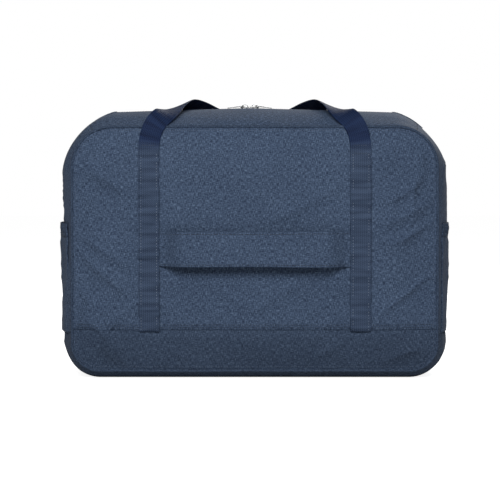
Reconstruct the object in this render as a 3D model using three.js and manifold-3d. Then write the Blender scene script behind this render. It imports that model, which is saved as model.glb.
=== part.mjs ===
// Foldable travel tote bag in navy cloth, standing on its base.
// Millimetres. +Z up, +X to the right, -Y is the rear (luggage sleeve side), +Y the front.
// The origin is the centre of the base, on the surface that the bag stands on.

import * as THREE from "three";
import { mergeVertices } from "three/addons/utils/BufferGeometryUtils.js";
import Module from "manifold-3d";

const wasm = await Module();
wasm.setup();

// ---------------------------------------------------------------- driving dimensions

// seam outline of the rear and front faces: a rectangle with round corners
const SEAM_HALF_WIDTH = 216;
const SEAM_LOW = 10;
const SEAM_HIGH = 298;
const TOP_CORNER = 48;
const BOTTOM_CORNER = 32;
const SEAM_Y = 88; // each face's seam, in front of and behind the middle

// cloth
const CLOTH = 1.5;
const GAP = 0.35; // between pieces that touch
const FACE_BULGE = 12; // how far a full face stands out from its seam
const BULGE_REACH = 60; // the bulge grows over this distance from the seam

// gusset (the band between the two faces), measured outside the seam outline
const SIDE_BULGE = 16;
const TOP_BULGE = 24;
const BASE_BULGE = SEAM_LOW; // the base is flat on z = 0
const BASE_FLAT = 0.72; // share of the half depth that lies flat
const ROUNDING = 2.5; // power of the gusset's curve
const CREST_SLOPE = 0.03; // the zipper falls this much per mm from the meeting point
const MEET_X = -6; // where the two sliders meet

const PIPING_RADIUS = 1.75;
const BOOT_HIGH = 58; // seam between the upper and the lower cloth of each face
const BOOT_SIDE_HIGH = 53; // the same seam on the gusset
const TOP_GUSSET_TURN = Math.PI / 3; // how far round the corner the side gusset reaches

// webbing
const WEB_WIDTH = 25;
const WEB = 1.8;
const STRAP_X = 125;
const STRAP_HIGH = 298;

// luggage sleeve
const SLEEVE_HALF = 111;
const SLEEVE_LOW = 133;
const SLEEVE_HIGH = 175;
const SLEEVE_FLAT = 84; // half the length that stands clear of the face
const SLEEVE_REACH = 19;

// handles
const PIVOT_OUT = 98; // pivot lines, in front of and behind the middle
const PIVOT_HIGH = 298;
const FRONT_DROP = 150; // how far the front loop hangs

// zipper
const ZIP_HALF_LENGTH = 167;
const COIL_IN = 0.9; // the coil halves stand this far from the middle
const COIL_OUT = 2.8;
const TAPE_IN = 3.15;
const TAPE_OUT = 14.6;
const TAPE = 0.8;
const COIL_HALF_HEIGHT = 0.9;

// slider and pull
const SLIDER_LENGTH = 11;
const SLIDER_WIDTH = 7;
const PLATE = 1;
const PLATE_IN = 1.3; // from the middle of the coil to the plates
const POST_WIDTH = 1;
const POST_LENGTH = 3.2;
const POST_INSET = 0.4; // from the slider's nose
const CUT = 0.1; // joined solids sink this far into each other
const BRIDGE_LENGTH = 6.5;
const BRIDGE_WIDTH = 1.4;
const BRIDGE_HEIGHT = 3;
const BRIDGE_WALL = 0.8;
const PULL_LENGTH = 21;
const PULL_WIDTH = 7.5;
const PULL = 1;
const PULL_HOLE_WIDTH = 3.8;
const PULL_HOLE_LENGTH = 5.4;
const PULL_BAR = 1; // bar that runs under the bridge

// side pockets
const POCKET_HALF = 72;
const POCKET_LOW = 54;
const POCKET_HIGH = 184;
const HEM_HEIGHT = 11;
const HEM_ROLL = 0.6; // the hem is this much thicker than the cloth

// front pouch pocket
const POUCH_HALF = 105;
const POUCH_LOW = 72;
const POUCH_HIGH = 205;
const POUCH_OUT = 3;
const POUCH_ZIP_HIGH = 213; // middle of the pouch zipper
const POUCH_ZIP_HALF = 90;
const POUCH_TAPE_OUT = 7.6;
const POUCH_SLIDER_X = -80;

// binding tape on the seam allowances, inside the bag
const BINDING_WIDTH = 6;
const BINDING_IN = 8; // middle of the tape, inside the seam outline
const BINDING = 1.2;

// ---------------------------------------------------------------- materials

function material(color, roughness, metalness = 0) {
  return new THREE.MeshStandardMaterial({ color, roughness, metalness });
}

const CLOTH_NAVY = material(0x3d4f6b, 0.9);
const CLOTH_DARK = material(0x35455d, 0.9);
const WEBBING = material(0x33425c, 0.85);
const TAPE_NAVY = material(0x1d2638, 0.85);
const COIL_NYLON = material(0x161c2a, 0.5);
const NICKEL = material(0xb9bcc2, 0.3, 1);

// ---------------------------------------------------------------- helpers

const group = new THREE.Group();

function add(name, geometry, look, parent = group) {
  const mesh = new THREE.Mesh(geometry, look);
  mesh.name = name;
  parent.add(mesh);
  return mesh;
}

// Moves every vertex of a geometry with place(vertex).
function warp(geometry, place) {
  const position = geometry.getAttribute("position");
  const vertex = new THREE.Vector3();
  for (let i = 0; i < position.count; i += 1) {
    vertex.fromBufferAttribute(position, i);
    place(vertex);
    position.setXYZ(i, vertex.x, vertex.y, vertex.z);
  }
  return geometry;
}

// A closed sheet: surface(u, v, target) gives its outer face for u and v from 0 to 1,
// and the sheet lies behind that face by its thickness.
function sheet(surface, thickness, columns, rows) {
  const step = 1e-3;
  const along = new THREE.Vector3();
  const up = new THREE.Vector3();
  const face = new THREE.Vector3();
  return warp(new THREE.BoxGeometry(1, 1, 1, columns, rows, 1), (vertex) => {
    const u = vertex.x + 0.5;
    const v = vertex.y + 0.5;
    const depth = (vertex.z - 0.5) * thickness;
    surface(u, v, face);
    const nearU = u > 0.5 ? u - step : u + step;
    const nearV = v > 0.5 ? v - step : v + step;
    surface(nearU, v, along).sub(face).multiplyScalar(Math.sign(nearU - u));
    surface(u, nearV, up).sub(face).multiplyScalar(Math.sign(nearV - v));
    vertex.crossVectors(along, up).normalize().multiplyScalar(depth).add(face);
  });
}

const mix = THREE.MathUtils.lerp;

// ---------------------------------------------------------------- seam outline

const seam = new THREE.Path();
const cornerX = SEAM_HALF_WIDTH - TOP_CORNER;
const cornerLowX = SEAM_HALF_WIDTH - BOTTOM_CORNER;
const cornerZ = SEAM_HIGH - TOP_CORNER;
const cornerLowZ = SEAM_LOW + BOTTOM_CORNER;
const QUARTER = Math.PI / 2;
seam.moveTo(0, SEAM_LOW);
seam.lineTo(cornerLowX, SEAM_LOW);
seam.absarc(cornerLowX, cornerLowZ, BOTTOM_CORNER, -QUARTER, 0);
seam.lineTo(SEAM_HALF_WIDTH, cornerZ);
seam.absarc(cornerX, cornerZ, TOP_CORNER, 0, QUARTER);
seam.lineTo(-cornerX, SEAM_HIGH);
seam.absarc(-cornerX, cornerZ, TOP_CORNER, QUARTER, 2 * QUARTER);
seam.lineTo(-SEAM_HALF_WIDTH, cornerLowZ);
seam.absarc(-cornerLowX, cornerLowZ, BOTTOM_CORNER, 2 * QUARTER, 3 * QUARTER);
seam.lineTo(0, SEAM_LOW);

// stations along the seam, in mm from the middle of the base, going round to the right
const SEAM_LENGTH = seam.getLength();
const BOOT_STATION = cornerLowX + QUARTER * BOTTOM_CORNER + BOOT_SIDE_HIGH - cornerLowZ;
const SIDE_STATION = cornerLowX + QUARTER * BOTTOM_CORNER;
const CORNER_STATION = SIDE_STATION + cornerZ - cornerLowZ;
const TOP_STATION = CORNER_STATION + TOP_GUSSET_TURN * TOP_CORNER;

const seamPoint = new THREE.Vector2();
const seamTangent = new THREE.Vector2();

// The seam point and its outward normal at a station.
function alongSeam(station) {
  const share = THREE.MathUtils.euclideanModulo(station / SEAM_LENGTH, 1);
  seam.getPointAt(share, seamPoint);
  seam.getTangentAt(share, seamTangent);
  return { x: seamPoint.x, z: seamPoint.y, outX: seamTangent.y, outZ: -seamTangent.x };
}

// The outer face of the gusset at a station and a depth y.
function gussetPoint(station, y, target) {
  const at = alongSeam(station);
  const share = Math.min(Math.abs(y) / SEAM_Y, 1);
  const round = 1 - share ** ROUNDING;
  const flat = 1 - Math.max((share - BASE_FLAT) / (1 - BASE_FLAT), 0) ** 2;
  const crest = TOP_BULGE - CREST_SLOPE * Math.abs(at.x - MEET_X);
  const down = Math.max(-at.outZ, 0);
  const up = Math.max(at.outZ, 0);
  const reach = mix(mix(SIDE_BULGE, crest, up), BASE_BULGE, down) * mix(round, flat, down);
  return target.set(at.x + at.outX * reach, y, at.z + at.outZ * reach);
}

// A piece of the gusset between two stations and two depths.
function gussetPiece(from, to, yFrom, yTo, thickness, columns, rows, lift = 0) {
  return sheet(
    (u, v, target) => {
      gussetPoint(mix(from, to, u), mix(yTo, yFrom, v), target);
      const at = alongSeam(mix(from, to, u));
      target.x += at.outX * lift;
      target.z += at.outZ * lift;
      return target;
    },
    thickness,
    columns,
    rows,
  );
}

// ---------------------------------------------------------------- faces

const CORNER_ROOM = 1; // the straight facets of the piping cut its corners by less than this
const FACE_INSET = PIPING_RADIUS + GAP + CORNER_ROOM;

// Half the width of a face at a height, inside its piping.
function halfWidth(z) {
  const top = Math.max(z - cornerZ, 0);
  const low = Math.max(cornerLowZ - z, 0);
  const topRadius = TOP_CORNER - FACE_INSET;
  const lowRadius = BOTTOM_CORNER - FACE_INSET;
  if (top > 0) return cornerX + Math.sqrt(Math.max(topRadius ** 2 - top ** 2, 0));
  return cornerLowX + Math.sqrt(Math.max(lowRadius ** 2 - low ** 2, 0));
}

// How far a face stands out of its seam plane.
function bulge(x, z) {
  const rise = (distance) => Math.sin(QUARTER * THREE.MathUtils.clamp(distance / BULGE_REACH, 0, 1));
  const up = Math.min(SEAM_HIGH - FACE_INSET - z, z - SEAM_LOW - FACE_INSET);
  return FACE_BULGE * rise(halfWidth(z) - Math.abs(x)) * rise(up);
}

const FACE_OUT = SEAM_Y + CLOTH / 2;

// A sheet that lies over a face. side is -1 for the rear and +1 for the front; heights
// run by a sine, so that the rows crowd towards the end that holds the round corner.
function facePiece(side, halfAt, low, high, lift, thickness, columns, rows, crowd = 0) {
  return warp(new THREE.BoxGeometry(1, 1, 1, columns, rows, 1), (vertex) => {
    const across = Math.sin(QUARTER * 2 * vertex.x);
    let v = vertex.y + 0.5;
    if (crowd > 0) v = Math.sin(QUARTER * v);
    if (crowd < 0) v = 1 - Math.sin(QUARTER * (1 - v));
    const z = mix(low, high, v);
    const x = across * halfAt(z);
    const out = FACE_OUT + bulge(x, z) + lift - (0.5 - vertex.z) * thickness;
    vertex.set(-side * x, side * out, z);
  });
}

function faces(side, word) {
  const top = SEAM_HIGH - FACE_INSET;
  const low = SEAM_LOW + FACE_INSET;
  const upper = facePiece(side, halfWidth, BOOT_HIGH + GAP / 2, top, 0, CLOTH, 12, 10, 1);
  const lower = facePiece(side, halfWidth, low, BOOT_HIGH - GAP / 2, 0, CLOTH, 12, 5, -1);
  add(`${word}_panel`, upper, CLOTH_NAVY);
  add(`${word}_lower_panel`, lower, CLOTH_DARK);
}

// A ring of piping round the seam.
function piping(side) {
  const ring = new THREE.TorusGeometry(SEAM_HIGH, PIPING_RADIUS, 6, 96);
  return warp(ring, (vertex) => {
    const turn = Math.atan2(vertex.y, vertex.x) + QUARTER;
    const out = Math.hypot(vertex.x, vertex.y) - SEAM_HIGH;
    const at = alongSeam((turn / (4 * QUARTER)) * SEAM_LENGTH);
    vertex.set(at.x + at.outX * out, side * SEAM_Y - vertex.z, at.z + at.outZ * out);
  });
}

// A flat ring of binding tape inside the seam.
function binding(side) {
  const ring = new THREE.TorusGeometry(SEAM_HIGH, 1, 4, 72);
  const y = side * (SEAM_Y - CLOTH / 2 - GAP - BINDING / 2);
  return warp(ring, (vertex) => {
    const turn = Math.atan2(vertex.y, vertex.x) + QUARTER;
    const a = Math.hypot(vertex.x, vertex.y) - SEAM_HIGH;
    const b = vertex.z;
    const at = alongSeam((turn / (4 * QUARTER)) * SEAM_LENGTH);
    const out = ((a + b) * BINDING_WIDTH) / 2 - BINDING_IN;
    vertex.set(at.x + at.outX * out, y - ((b - a) * BINDING) / 2, at.z + at.outZ * out);
  });
}

// ---------------------------------------------------------------- webbing

// A flat ribbon of webbing along a route; facing gives the direction its outer side looks.
function ribbon(route, facing, width, thickness, steps) {
  const point = new THREE.Vector3();
  const out = new THREE.Vector3();
  const across = new THREE.Vector3();
  return warp(new THREE.BoxGeometry(1, 1, 1, steps, 1, 1), (vertex) => {
    const u = vertex.x + 0.5;
    const tangent = route.getTangentAt(u);
    route.getPointAt(u, point);
    facing.getPoint(u, out);
    across.crossVectors(out, tangent).normalize();
    out.crossVectors(tangent, across).normalize();
    point.addScaledVector(across, vertex.y * width);
    vertex.copy(point.addScaledVector(out, vertex.z * thickness));
  });
}

const STRAP_GAP = 0.55; // between a strap and the face under it
const OVER_PIPING = SEAM_Y + PIPING_RADIUS + GAP; // least distance out that clears the piping

// A sewn strap from the boot seam up over the face.
function sewnStrap(side, x) {
  const low = BOOT_HIGH + GAP;
  return warp(new THREE.BoxGeometry(1, 1, 1, 2, 14, 1), (vertex) => {
    const z = mix(low, STRAP_HIGH, Math.sin(QUARTER * (vertex.y + 0.5)));
    const at = x + vertex.x * WEB_WIDTH * -side;
    const out = Math.max(FACE_OUT + bulge(x, z) + STRAP_GAP, OVER_PIPING);
    vertex.set(at, side * (out + (vertex.z + 0.5) * WEB), z);
  });
}

const STRAP_TOP_Y = OVER_PIPING + WEB / 2; // middle of the webbing at the top of the strap

const vector = (x, y, z) => new THREE.Vector3(x, y, z);

// Mirrors the left half of a route, so that it runs from left to right.
function bothHalves(left, flip) {
  return left.concat(left.slice(0, -1).reverse().map(flip));
}

// The rear handle lies over the top of the bag, its grip against the front edge.
const rearRoute = new THREE.CatmullRomCurve3(
  bothHalves(
    [
      vector(-STRAP_X, -STRAP_TOP_Y, STRAP_HIGH + 1.5),
      vector(-124.6, -STRAP_TOP_Y, 305),
      vector(-119, -87, 317),
      vector(-104, -50, 330),
      vector(-84, -5, 330.5),
      vector(-66, 38, 327),
      vector(-50, 76, 317),
      vector(-30, 95, 306),
      vector(0, 99, 302),
    ],
    (point) => vector(-point.x, point.y, point.z),
  ),
  false,
  "centripetal",
);
const rearFacing = new THREE.CatmullRomCurve3(
  bothHalves(
    [
      vector(0, -1, 0.05),
      vector(0, -0.75, 0.66),
      vector(0, -0.2, 1),
      vector(0, 0.05, 1),
      vector(0, 0.3, 1),
      vector(0.1, 0.8, 0.75),
      vector(0, 1, 0.25),
    ],
    (point) => vector(-point.x, point.y, point.z),
  ),
);

// The front handle hangs down outside the front face.
const FRONT_LOOP_Y = 2 * PIVOT_OUT - STRAP_TOP_Y;
const frontRoute = new THREE.CatmullRomCurve3(
  bothHalves(
    [
      vector(-STRAP_X, FRONT_LOOP_Y, PIVOT_HIGH - 2),
      vector(-124, FRONT_LOOP_Y + 3, PIVOT_HIGH - 30),
      vector(-118, FRONT_LOOP_Y + 6, PIVOT_HIGH - 66),
      vector(-98, FRONT_LOOP_Y + 8, PIVOT_HIGH - 108),
      vector(-62, FRONT_LOOP_Y + 10, PIVOT_HIGH - FRONT_DROP + 13),
      vector(0, FRONT_LOOP_Y + 11, PIVOT_HIGH - FRONT_DROP),
    ],
    (point) => vector(-point.x, point.y, point.z),
  ),
  false,
  "centripetal",
);
const frontFacing = new THREE.CatmullRomCurve3([vector(0, 1, 0.05), vector(0, 1, 0.05)]);

// ---------------------------------------------------------------- luggage sleeve

// A band across the rear face that stands clear of it between the straps.
function luggageSleeve() {
  const rest = FACE_OUT + FACE_BULGE + GAP;
  return warp(new THREE.BoxGeometry(1, 1, 1, 16, 2, 1), (vertex) => {
    const x = vertex.x * 2 * SLEEVE_HALF;
    const fall = (SLEEVE_HALF - Math.abs(x)) / (SLEEVE_HALF - SLEEVE_FLAT);
    const reach = SLEEVE_REACH * THREE.MathUtils.smoothstep(fall, 0, 1);
    const z = mix(SLEEVE_LOW, SLEEVE_HIGH, vertex.y + 0.5);
    vertex.set(x, -(rest + reach + (vertex.z + 0.5) * CLOTH), z);
  });
}

// ---------------------------------------------------------------- side pockets

// A patch that lies over a side gusset. side is +1 for the right.
function sidePatch(side, low, high, half, lift, thickness, columns, rows) {
  const station = (z) => SIDE_STATION + z - cornerLowZ;
  const right = gussetPiece(station(low), station(high), -half, half, thickness, rows, columns, lift);
  if (side > 0) return right;
  return warp(right, (vertex) => vertex.set(-vertex.x, -vertex.y, vertex.z));
}

// ---------------------------------------------------------------- hardware

// A closed mesh as a solid that can be joined and cut.
function solid(geometry) {
  const plain = geometry.clone();
  plain.deleteAttribute("normal");
  plain.deleteAttribute("uv");
  const merged = mergeVertices(plain);
  const vertProperties = new Float32Array(merged.getAttribute("position").array);
  const triVerts = new Uint32Array(merged.index.array);
  return new wasm.Manifold(new wasm.Mesh({ numProp: 3, vertProperties, triVerts }));
}

// The solid's faces as a geometry again.
function geometryOf(manifold) {
  const mesh = manifold.getMesh();
  const geometry = new THREE.BufferGeometry();
  geometry.setAttribute("position", new THREE.BufferAttribute(mesh.vertProperties, 3));
  geometry.setIndex(new THREE.BufferAttribute(mesh.triVerts, 1));
  return geometry;
}

function box(x, y, z, at) {
  return new THREE.BoxGeometry(x, y, z).translate(at.x, at.y, at.z);
}

// The outline of a slider plate: a blunt shield, narrow at its tail.
function plateGeometry(height) {
  const half = SLIDER_LENGTH / 2;
  const wide = SLIDER_WIDTH / 2;
  const outline = new THREE.Shape();
  outline.moveTo(-half, -wide + 1);
  outline.lineTo(-half + 1, -wide);
  outline.lineTo(half * 0.3, -wide);
  outline.lineTo(half, -wide * 0.55);
  outline.lineTo(half, wide * 0.55);
  outline.lineTo(half * 0.3, wide);
  outline.lineTo(-half + 1, wide);
  outline.lineTo(-half, wide - 1);
  outline.closePath();
  return new THREE.ExtrudeGeometry(outline, { depth: height, bevelEnabled: false });
}

// A slider, centred on the middle of the coil. Its nose points to -X.
function sliderGeometry() {
  const top = plateGeometry(PLATE).translate(0, 0, PLATE_IN);
  const low = plateGeometry(PLATE).translate(0, 0, -PLATE_IN - PLATE);
  const postX = -SLIDER_LENGTH / 2 + POST_LENGTH / 2 + POST_INSET;
  const post = box(POST_LENGTH, POST_WIDTH, 2 * PLATE_IN + PLATE, vector(postX, 0, 0));
  const bridgeZ = PLATE_IN + PLATE + BRIDGE_HEIGHT / 2 - CUT;
  const bridge = box(BRIDGE_LENGTH, BRIDGE_WIDTH, BRIDGE_HEIGHT, vector(0, 0, bridgeZ));
  const eyeHeight = BRIDGE_HEIGHT - BRIDGE_WALL;
  const eyeLength = BRIDGE_LENGTH - 2 * BRIDGE_WALL;
  const eyeZ = PLATE_IN + PLATE + eyeHeight / 2 - CUT;
  const eye = box(eyeLength, 2 * BRIDGE_WIDTH, eyeHeight, vector(0, 0, eyeZ));
  const plates = solid(top).add(solid(low)).add(solid(post));
  return geometryOf(plates.add(solid(bridge).subtract(solid(eye))));
}

const PULL_LIFT = 1; // from the top plate to the pull's pivot
const PULL_PIVOT_Z = PLATE_IN + PLATE + PULL_LIFT; // height of the pull's bar over the coil
const PULL_PIVOT_X = 1.2; // the bar's place along the slider

// A pull that lies flat towards +X from its bar at the origin.
function pullGeometry() {
  const half = PULL_WIDTH / 2;
  const start = -PULL_BAR / 2;
  const end = start + PULL_LENGTH;
  const outline = new THREE.Shape();
  outline.moveTo(start, -half + 0.8);
  outline.lineTo(start + 0.8, -half);
  outline.lineTo(end * 0.4, -half);
  outline.lineTo(end - 2.5, -half * 0.72);
  outline.quadraticCurveTo(end, -half * 0.6, end, 0);
  outline.quadraticCurveTo(end, half * 0.6, end - 2.5, half * 0.72);
  outline.lineTo(end * 0.4, half);
  outline.lineTo(start + 0.8, half);
  outline.lineTo(start, half - 0.8);
  outline.closePath();
  const holeHalf = PULL_HOLE_WIDTH / 2;
  const hole = new THREE.Path();
  hole.moveTo(PULL_BAR / 2, -holeHalf);
  hole.lineTo(PULL_BAR / 2, holeHalf);
  hole.lineTo(PULL_BAR / 2 + PULL_HOLE_LENGTH, holeHalf);
  hole.lineTo(PULL_BAR / 2 + PULL_HOLE_LENGTH, -holeHalf);
  hole.closePath();
  outline.holes.push(hole);
  const flat = new THREE.ExtrudeGeometry(outline, { depth: PULL, bevelEnabled: false, curveSegments: 4 });
  return flat.translate(0, 0, -PULL / 2);
}

// ---------------------------------------------------------------- assembly

// cloth of the two faces, and their piping
for (const [side, word] of [[-1, "rear"], [1, "front"]]) {
  faces(side, word);
  add(`piping_${word}`, piping(side), CLOTH_DARK);
  add(`seam_binding_${word}`, binding(side), TAPE_NAVY);
}

// gusset: base with the lower corners, sides, and the top in two halves
const GUSSET_Y = SEAM_Y - PIPING_RADIUS - GAP;
const bootEnd = BOOT_STATION - GAP / 2;
const sideEnd = TOP_STATION - GAP / 2;
const bottom = gussetPiece(-bootEnd, bootEnd, -GUSSET_Y, GUSSET_Y, CLOTH, 28, 14);
const sideRight = gussetPiece(bootEnd + GAP, sideEnd, -GUSSET_Y, GUSSET_Y, CLOTH, 14, 12);
const sideLeft = gussetPiece(-sideEnd, -bootEnd - GAP, -GUSSET_Y, GUSSET_Y, CLOTH, 14, 12);
add("bottom_gusset", bottom, CLOTH_DARK);
add("side_gusset_right", sideRight, CLOTH_NAVY);
add("side_gusset_left", sideLeft, CLOTH_NAVY);

const topFrom = sideEnd + GAP;
const topTo = SEAM_LENGTH - topFrom;
const topIn = TAPE_OUT + GAP;
add("top_gusset_rear", gussetPiece(topFrom, topTo, -GUSSET_Y, -topIn, CLOTH, 22, 6), CLOTH_NAVY);
add("top_gusset_front", gussetPiece(topFrom, topTo, topIn, GUSSET_Y, CLOTH, 22, 6), CLOTH_NAVY);

// zipper: tapes, coils and the tabs that close its ends
const middleStation = SEAM_LENGTH / 2;
const zipFrom = middleStation - ZIP_HALF_LENGTH;
const zipTo = middleStation + ZIP_HALF_LENGTH;
add("zipper_tape_rear", gussetPiece(zipFrom, zipTo, -TAPE_OUT, -TAPE_IN, TAPE, 2, 1), TAPE_NAVY);
add("zipper_tape_front", gussetPiece(zipFrom, zipTo, TAPE_IN, TAPE_OUT, TAPE, 2, 1), TAPE_NAVY);
add("zipper_tab_right", gussetPiece(topFrom, zipFrom - GAP, -TAPE_OUT, TAPE_OUT, CLOTH, 4, 2), CLOTH_DARK);
add("zipper_tab_left", gussetPiece(zipTo + GAP, topTo, -TAPE_OUT, TAPE_OUT, CLOTH, 4, 2), CLOTH_DARK);

// Height of the zipper's crest at x.
const crestHeight = (x) => SEAM_HIGH + TOP_BULGE - CREST_SLOPE * Math.abs(x - MEET_X);

function coil(side) {
  const middle = side * (COIL_IN + COIL_OUT) / 2;
  return warp(new THREE.BoxGeometry(1, COIL_OUT - COIL_IN, 2 * COIL_HALF_HEIGHT, 2, 1, 1), (vertex) => {
    const x = vertex.x === 0 ? MEET_X : vertex.x * 2 * ZIP_HALF_LENGTH;
    vertex.set(x, vertex.y + middle, crestHeight(x) - TAPE / 2 + vertex.z);
  });
}
add("zipper_coil_rear", coil(-1), COIL_NYLON);
add("zipper_coil_front", coil(1), COIL_NYLON);

// sliders, nose to nose, each with a pull that lies away from the other
for (const [turn, word] of [[0, "right"], [Math.PI, "left"]]) {
  const direction = Math.cos(turn);
  const holder = new THREE.Group();
  const middle = SLIDER_LENGTH / 2 + GAP;
  holder.position.set(MEET_X + direction * middle, 0, crestHeight(MEET_X + middle) - TAPE / 2);
  holder.rotation.set(0, direction * Math.atan(CREST_SLOPE), turn);
  add(`slider_${word}`, sliderGeometry(), NICKEL, holder);
  const pull = add(`pull_${word}`, pullGeometry(), NICKEL, holder);
  pull.position.set(PULL_PIVOT_X, 0, PULL_PIVOT_Z);
  group.add(holder);
}

// straps and handles
for (const [side, word] of [[-1, "rear"], [1, "front"]]) {
  add(`strap_${word}_left`, sewnStrap(side, -STRAP_X), WEBBING);
  add(`strap_${word}_right`, sewnStrap(side, STRAP_X), WEBBING);
}
add("handle_rear_loop", ribbon(rearRoute, rearFacing, WEB_WIDTH, WEB, 44), WEBBING);
add("handle_front_loop", ribbon(frontRoute, frontFacing, WEB_WIDTH, WEB, 30), WEBBING);

// luggage sleeve
add("luggage_sleeve", luggageSleeve(), CLOTH_NAVY);

// side pockets with an elastic hem
for (const [side, word] of [[-1, "left"], [1, "right"]]) {
  const lift = GAP + CLOTH;
  const hemLow = POCKET_HIGH - HEM_HEIGHT;
  const patch = sidePatch(side, POCKET_LOW, hemLow, POCKET_HALF, lift, CLOTH, 10, 6);
  const hem = sidePatch(side, hemLow + GAP, POCKET_HIGH, POCKET_HALF, lift + HEM_ROLL, CLOTH + HEM_ROLL, 10, 1);
  add(`side_pocket_${word}`, patch, CLOTH_NAVY);
  add(`pocket_hem_${word}`, hem, WEBBING);
}

// front pouch pocket: its cloth, its zipper and slider
const pouch = facePiece(1, () => POUCH_HALF, POUCH_LOW, POUCH_HIGH, POUCH_OUT, CLOTH, 10, 4);
add("front_pocket_panel", pouch, CLOTH_NAVY);
const zipOut = GAP + PLATE_IN + PLATE; // from the face to the middle of the pouch coil
const tapeLift = zipOut + TAPE / 2;
const tapeBand = (low, high) => facePiece(1, () => POUCH_ZIP_HALF, low, high, tapeLift, TAPE, 10, 1);
const zipLow = POUCH_ZIP_HIGH - POUCH_TAPE_OUT;
const zipHigh = POUCH_ZIP_HIGH + POUCH_TAPE_OUT;
const pouchCoilY = FACE_OUT + FACE_BULGE + zipOut;
add("front_pocket_tape_lower", tapeBand(zipLow, POUCH_ZIP_HIGH - TAPE_IN), TAPE_NAVY);
add("front_pocket_tape_upper", tapeBand(POUCH_ZIP_HIGH + TAPE_IN, zipHigh), TAPE_NAVY);
for (const [side, word] of [[-1, "lower"], [1, "upper"]]) {
  const at = vector(0, pouchCoilY, POUCH_ZIP_HIGH + (side * (COIL_IN + COIL_OUT)) / 2);
  const bar = box(2 * POUCH_ZIP_HALF, 2 * COIL_HALF_HEIGHT, COIL_OUT - COIL_IN, at);
  add(`front_pocket_coil_${word}`, bar, COIL_NYLON);
}
const pouchHolder = new THREE.Group();
pouchHolder.position.set(POUCH_SLIDER_X, pouchCoilY, POUCH_ZIP_HIGH);
pouchHolder.rotation.x = -QUARTER;
add("front_pocket_slider", sliderGeometry(), NICKEL, pouchHolder);
const pouchPull = add("front_pocket_pull", pullGeometry(), NICKEL, pouchHolder);
pouchPull.position.set(PULL_PIVOT_X, 0, PULL_PIVOT_Z);
group.add(pouchHolder);

export default group;
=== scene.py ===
"""Looks of the navy travel tote: cloth, webbing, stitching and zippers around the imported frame."""

import math

import bmesh
import bpy
import numpy as np
from mathutils import Matrix, Vector


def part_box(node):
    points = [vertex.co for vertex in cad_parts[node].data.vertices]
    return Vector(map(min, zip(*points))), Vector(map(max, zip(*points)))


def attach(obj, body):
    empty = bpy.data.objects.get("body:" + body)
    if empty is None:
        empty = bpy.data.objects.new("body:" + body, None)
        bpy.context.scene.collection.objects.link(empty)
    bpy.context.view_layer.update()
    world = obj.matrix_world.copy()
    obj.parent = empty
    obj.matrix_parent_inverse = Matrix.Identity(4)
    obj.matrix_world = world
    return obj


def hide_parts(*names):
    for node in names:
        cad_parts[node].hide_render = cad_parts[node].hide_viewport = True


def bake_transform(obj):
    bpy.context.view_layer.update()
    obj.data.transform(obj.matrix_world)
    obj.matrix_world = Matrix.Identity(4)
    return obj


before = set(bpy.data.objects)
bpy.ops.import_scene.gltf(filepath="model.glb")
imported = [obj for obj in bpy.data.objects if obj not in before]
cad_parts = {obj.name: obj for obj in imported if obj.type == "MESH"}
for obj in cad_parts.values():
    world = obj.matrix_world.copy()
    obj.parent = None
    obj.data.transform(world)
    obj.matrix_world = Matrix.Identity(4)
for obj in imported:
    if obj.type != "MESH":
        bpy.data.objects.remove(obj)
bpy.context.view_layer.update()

MM = 0.001  # everything below is worked out in millimetres

# ---------- sizes from the frame


def box_mm(node):
    low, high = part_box(node)
    return np.array(low) / MM, np.array(high) / MM


PIPE = 1.75  # radius of the piping
TOP_CORNER = 48.0  # radius of the seam outline's upper corners
LOW_CORNER = 32.0  # and of its lower corners
ring_low, ring_high = box_mm("piping_rear")
HALF = ring_high[0] - PIPE  # half the width of the seam outline
LOW = ring_low[2] + PIPE
HIGH = ring_high[2] - PIPE
SEAM_Y = -(ring_low[1] + ring_high[1]) / 2  # from the bag's middle plane to either seam
BOOT = box_mm("rear_panel")[0][2]  # height of the seam of the lower cloth
SIDE_BOOT = box_mm("side_gusset_right")[0][2]
FACE_BULGE = -box_mm("rear_panel")[0][1] - SEAM_Y  # how far the faces stand out of their seams
SIDE_BULGE = box_mm("side_gusset_right")[1][0] - HALF - 0.5  # room for folds inside the CAD box
CREST = box_mm("zipper_coil_rear")[1][2] - 0.5 - HIGH  # how far the top rises over its seams
CREST_SLOPE = 0.03  # fall of the top for each mm away from where the sliders meet
MEET_X = -6.0  # the sliders meet here
BASE_FLAT = 0.72  # share of the base's width that is flat
CLOTH = 1.2  # thickness of the cloth
SIDES = ((-1, "rear"), (1, "front"))  # way along Y and name
ZIP_HALF = box_mm("zipper_coil_rear")[1][0]
TAPE_OUT = box_mm("zipper_tape_front")[1][1]
TOP_END = box_mm("top_gusset_rear")[1][0]

strap_low, strap_high = box_mm("strap_rear_left")
WEB_WIDTH = strap_high[0] - strap_low[0]
STRAP_X = -(strap_low[0] + strap_high[0]) / 2
STRAP_TOP = strap_high[2]
WEB = 1.8  # thickness of the webbing
STRAP_TOP_Y = WEB / 2 - strap_high[1]
SEWN_TOP = 277.0  # the straps are sewn down up to here

# ---------- camera

PHOTO_WIDTH = 590.0  # width of the view at the rear face
SENSOR = 36.0
DISTANCE = 3000.0
ELEVATION = math.radians(2)
AIM = Vector((-5.7, -SEAM_Y - 10, 153)) * MM


def make_camera():
    data = bpy.data.cameras.new("camera")
    data.sensor_width = SENSOR
    data.lens = SENSOR * DISTANCE / PHOTO_WIDTH
    data.clip_end = 30
    camera = bpy.data.objects.new("camera", data)
    bpy.context.scene.collection.objects.link(camera)
    back = Vector((0, -math.cos(ELEVATION), math.sin(ELEVATION)))
    camera.location = AIM + back * DISTANCE * MM
    camera.rotation_euler = (-back).to_track_quat("-Z", "Y").to_euler()
    bpy.context.scene.camera = camera


make_camera()

# ---------- small tools


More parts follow.
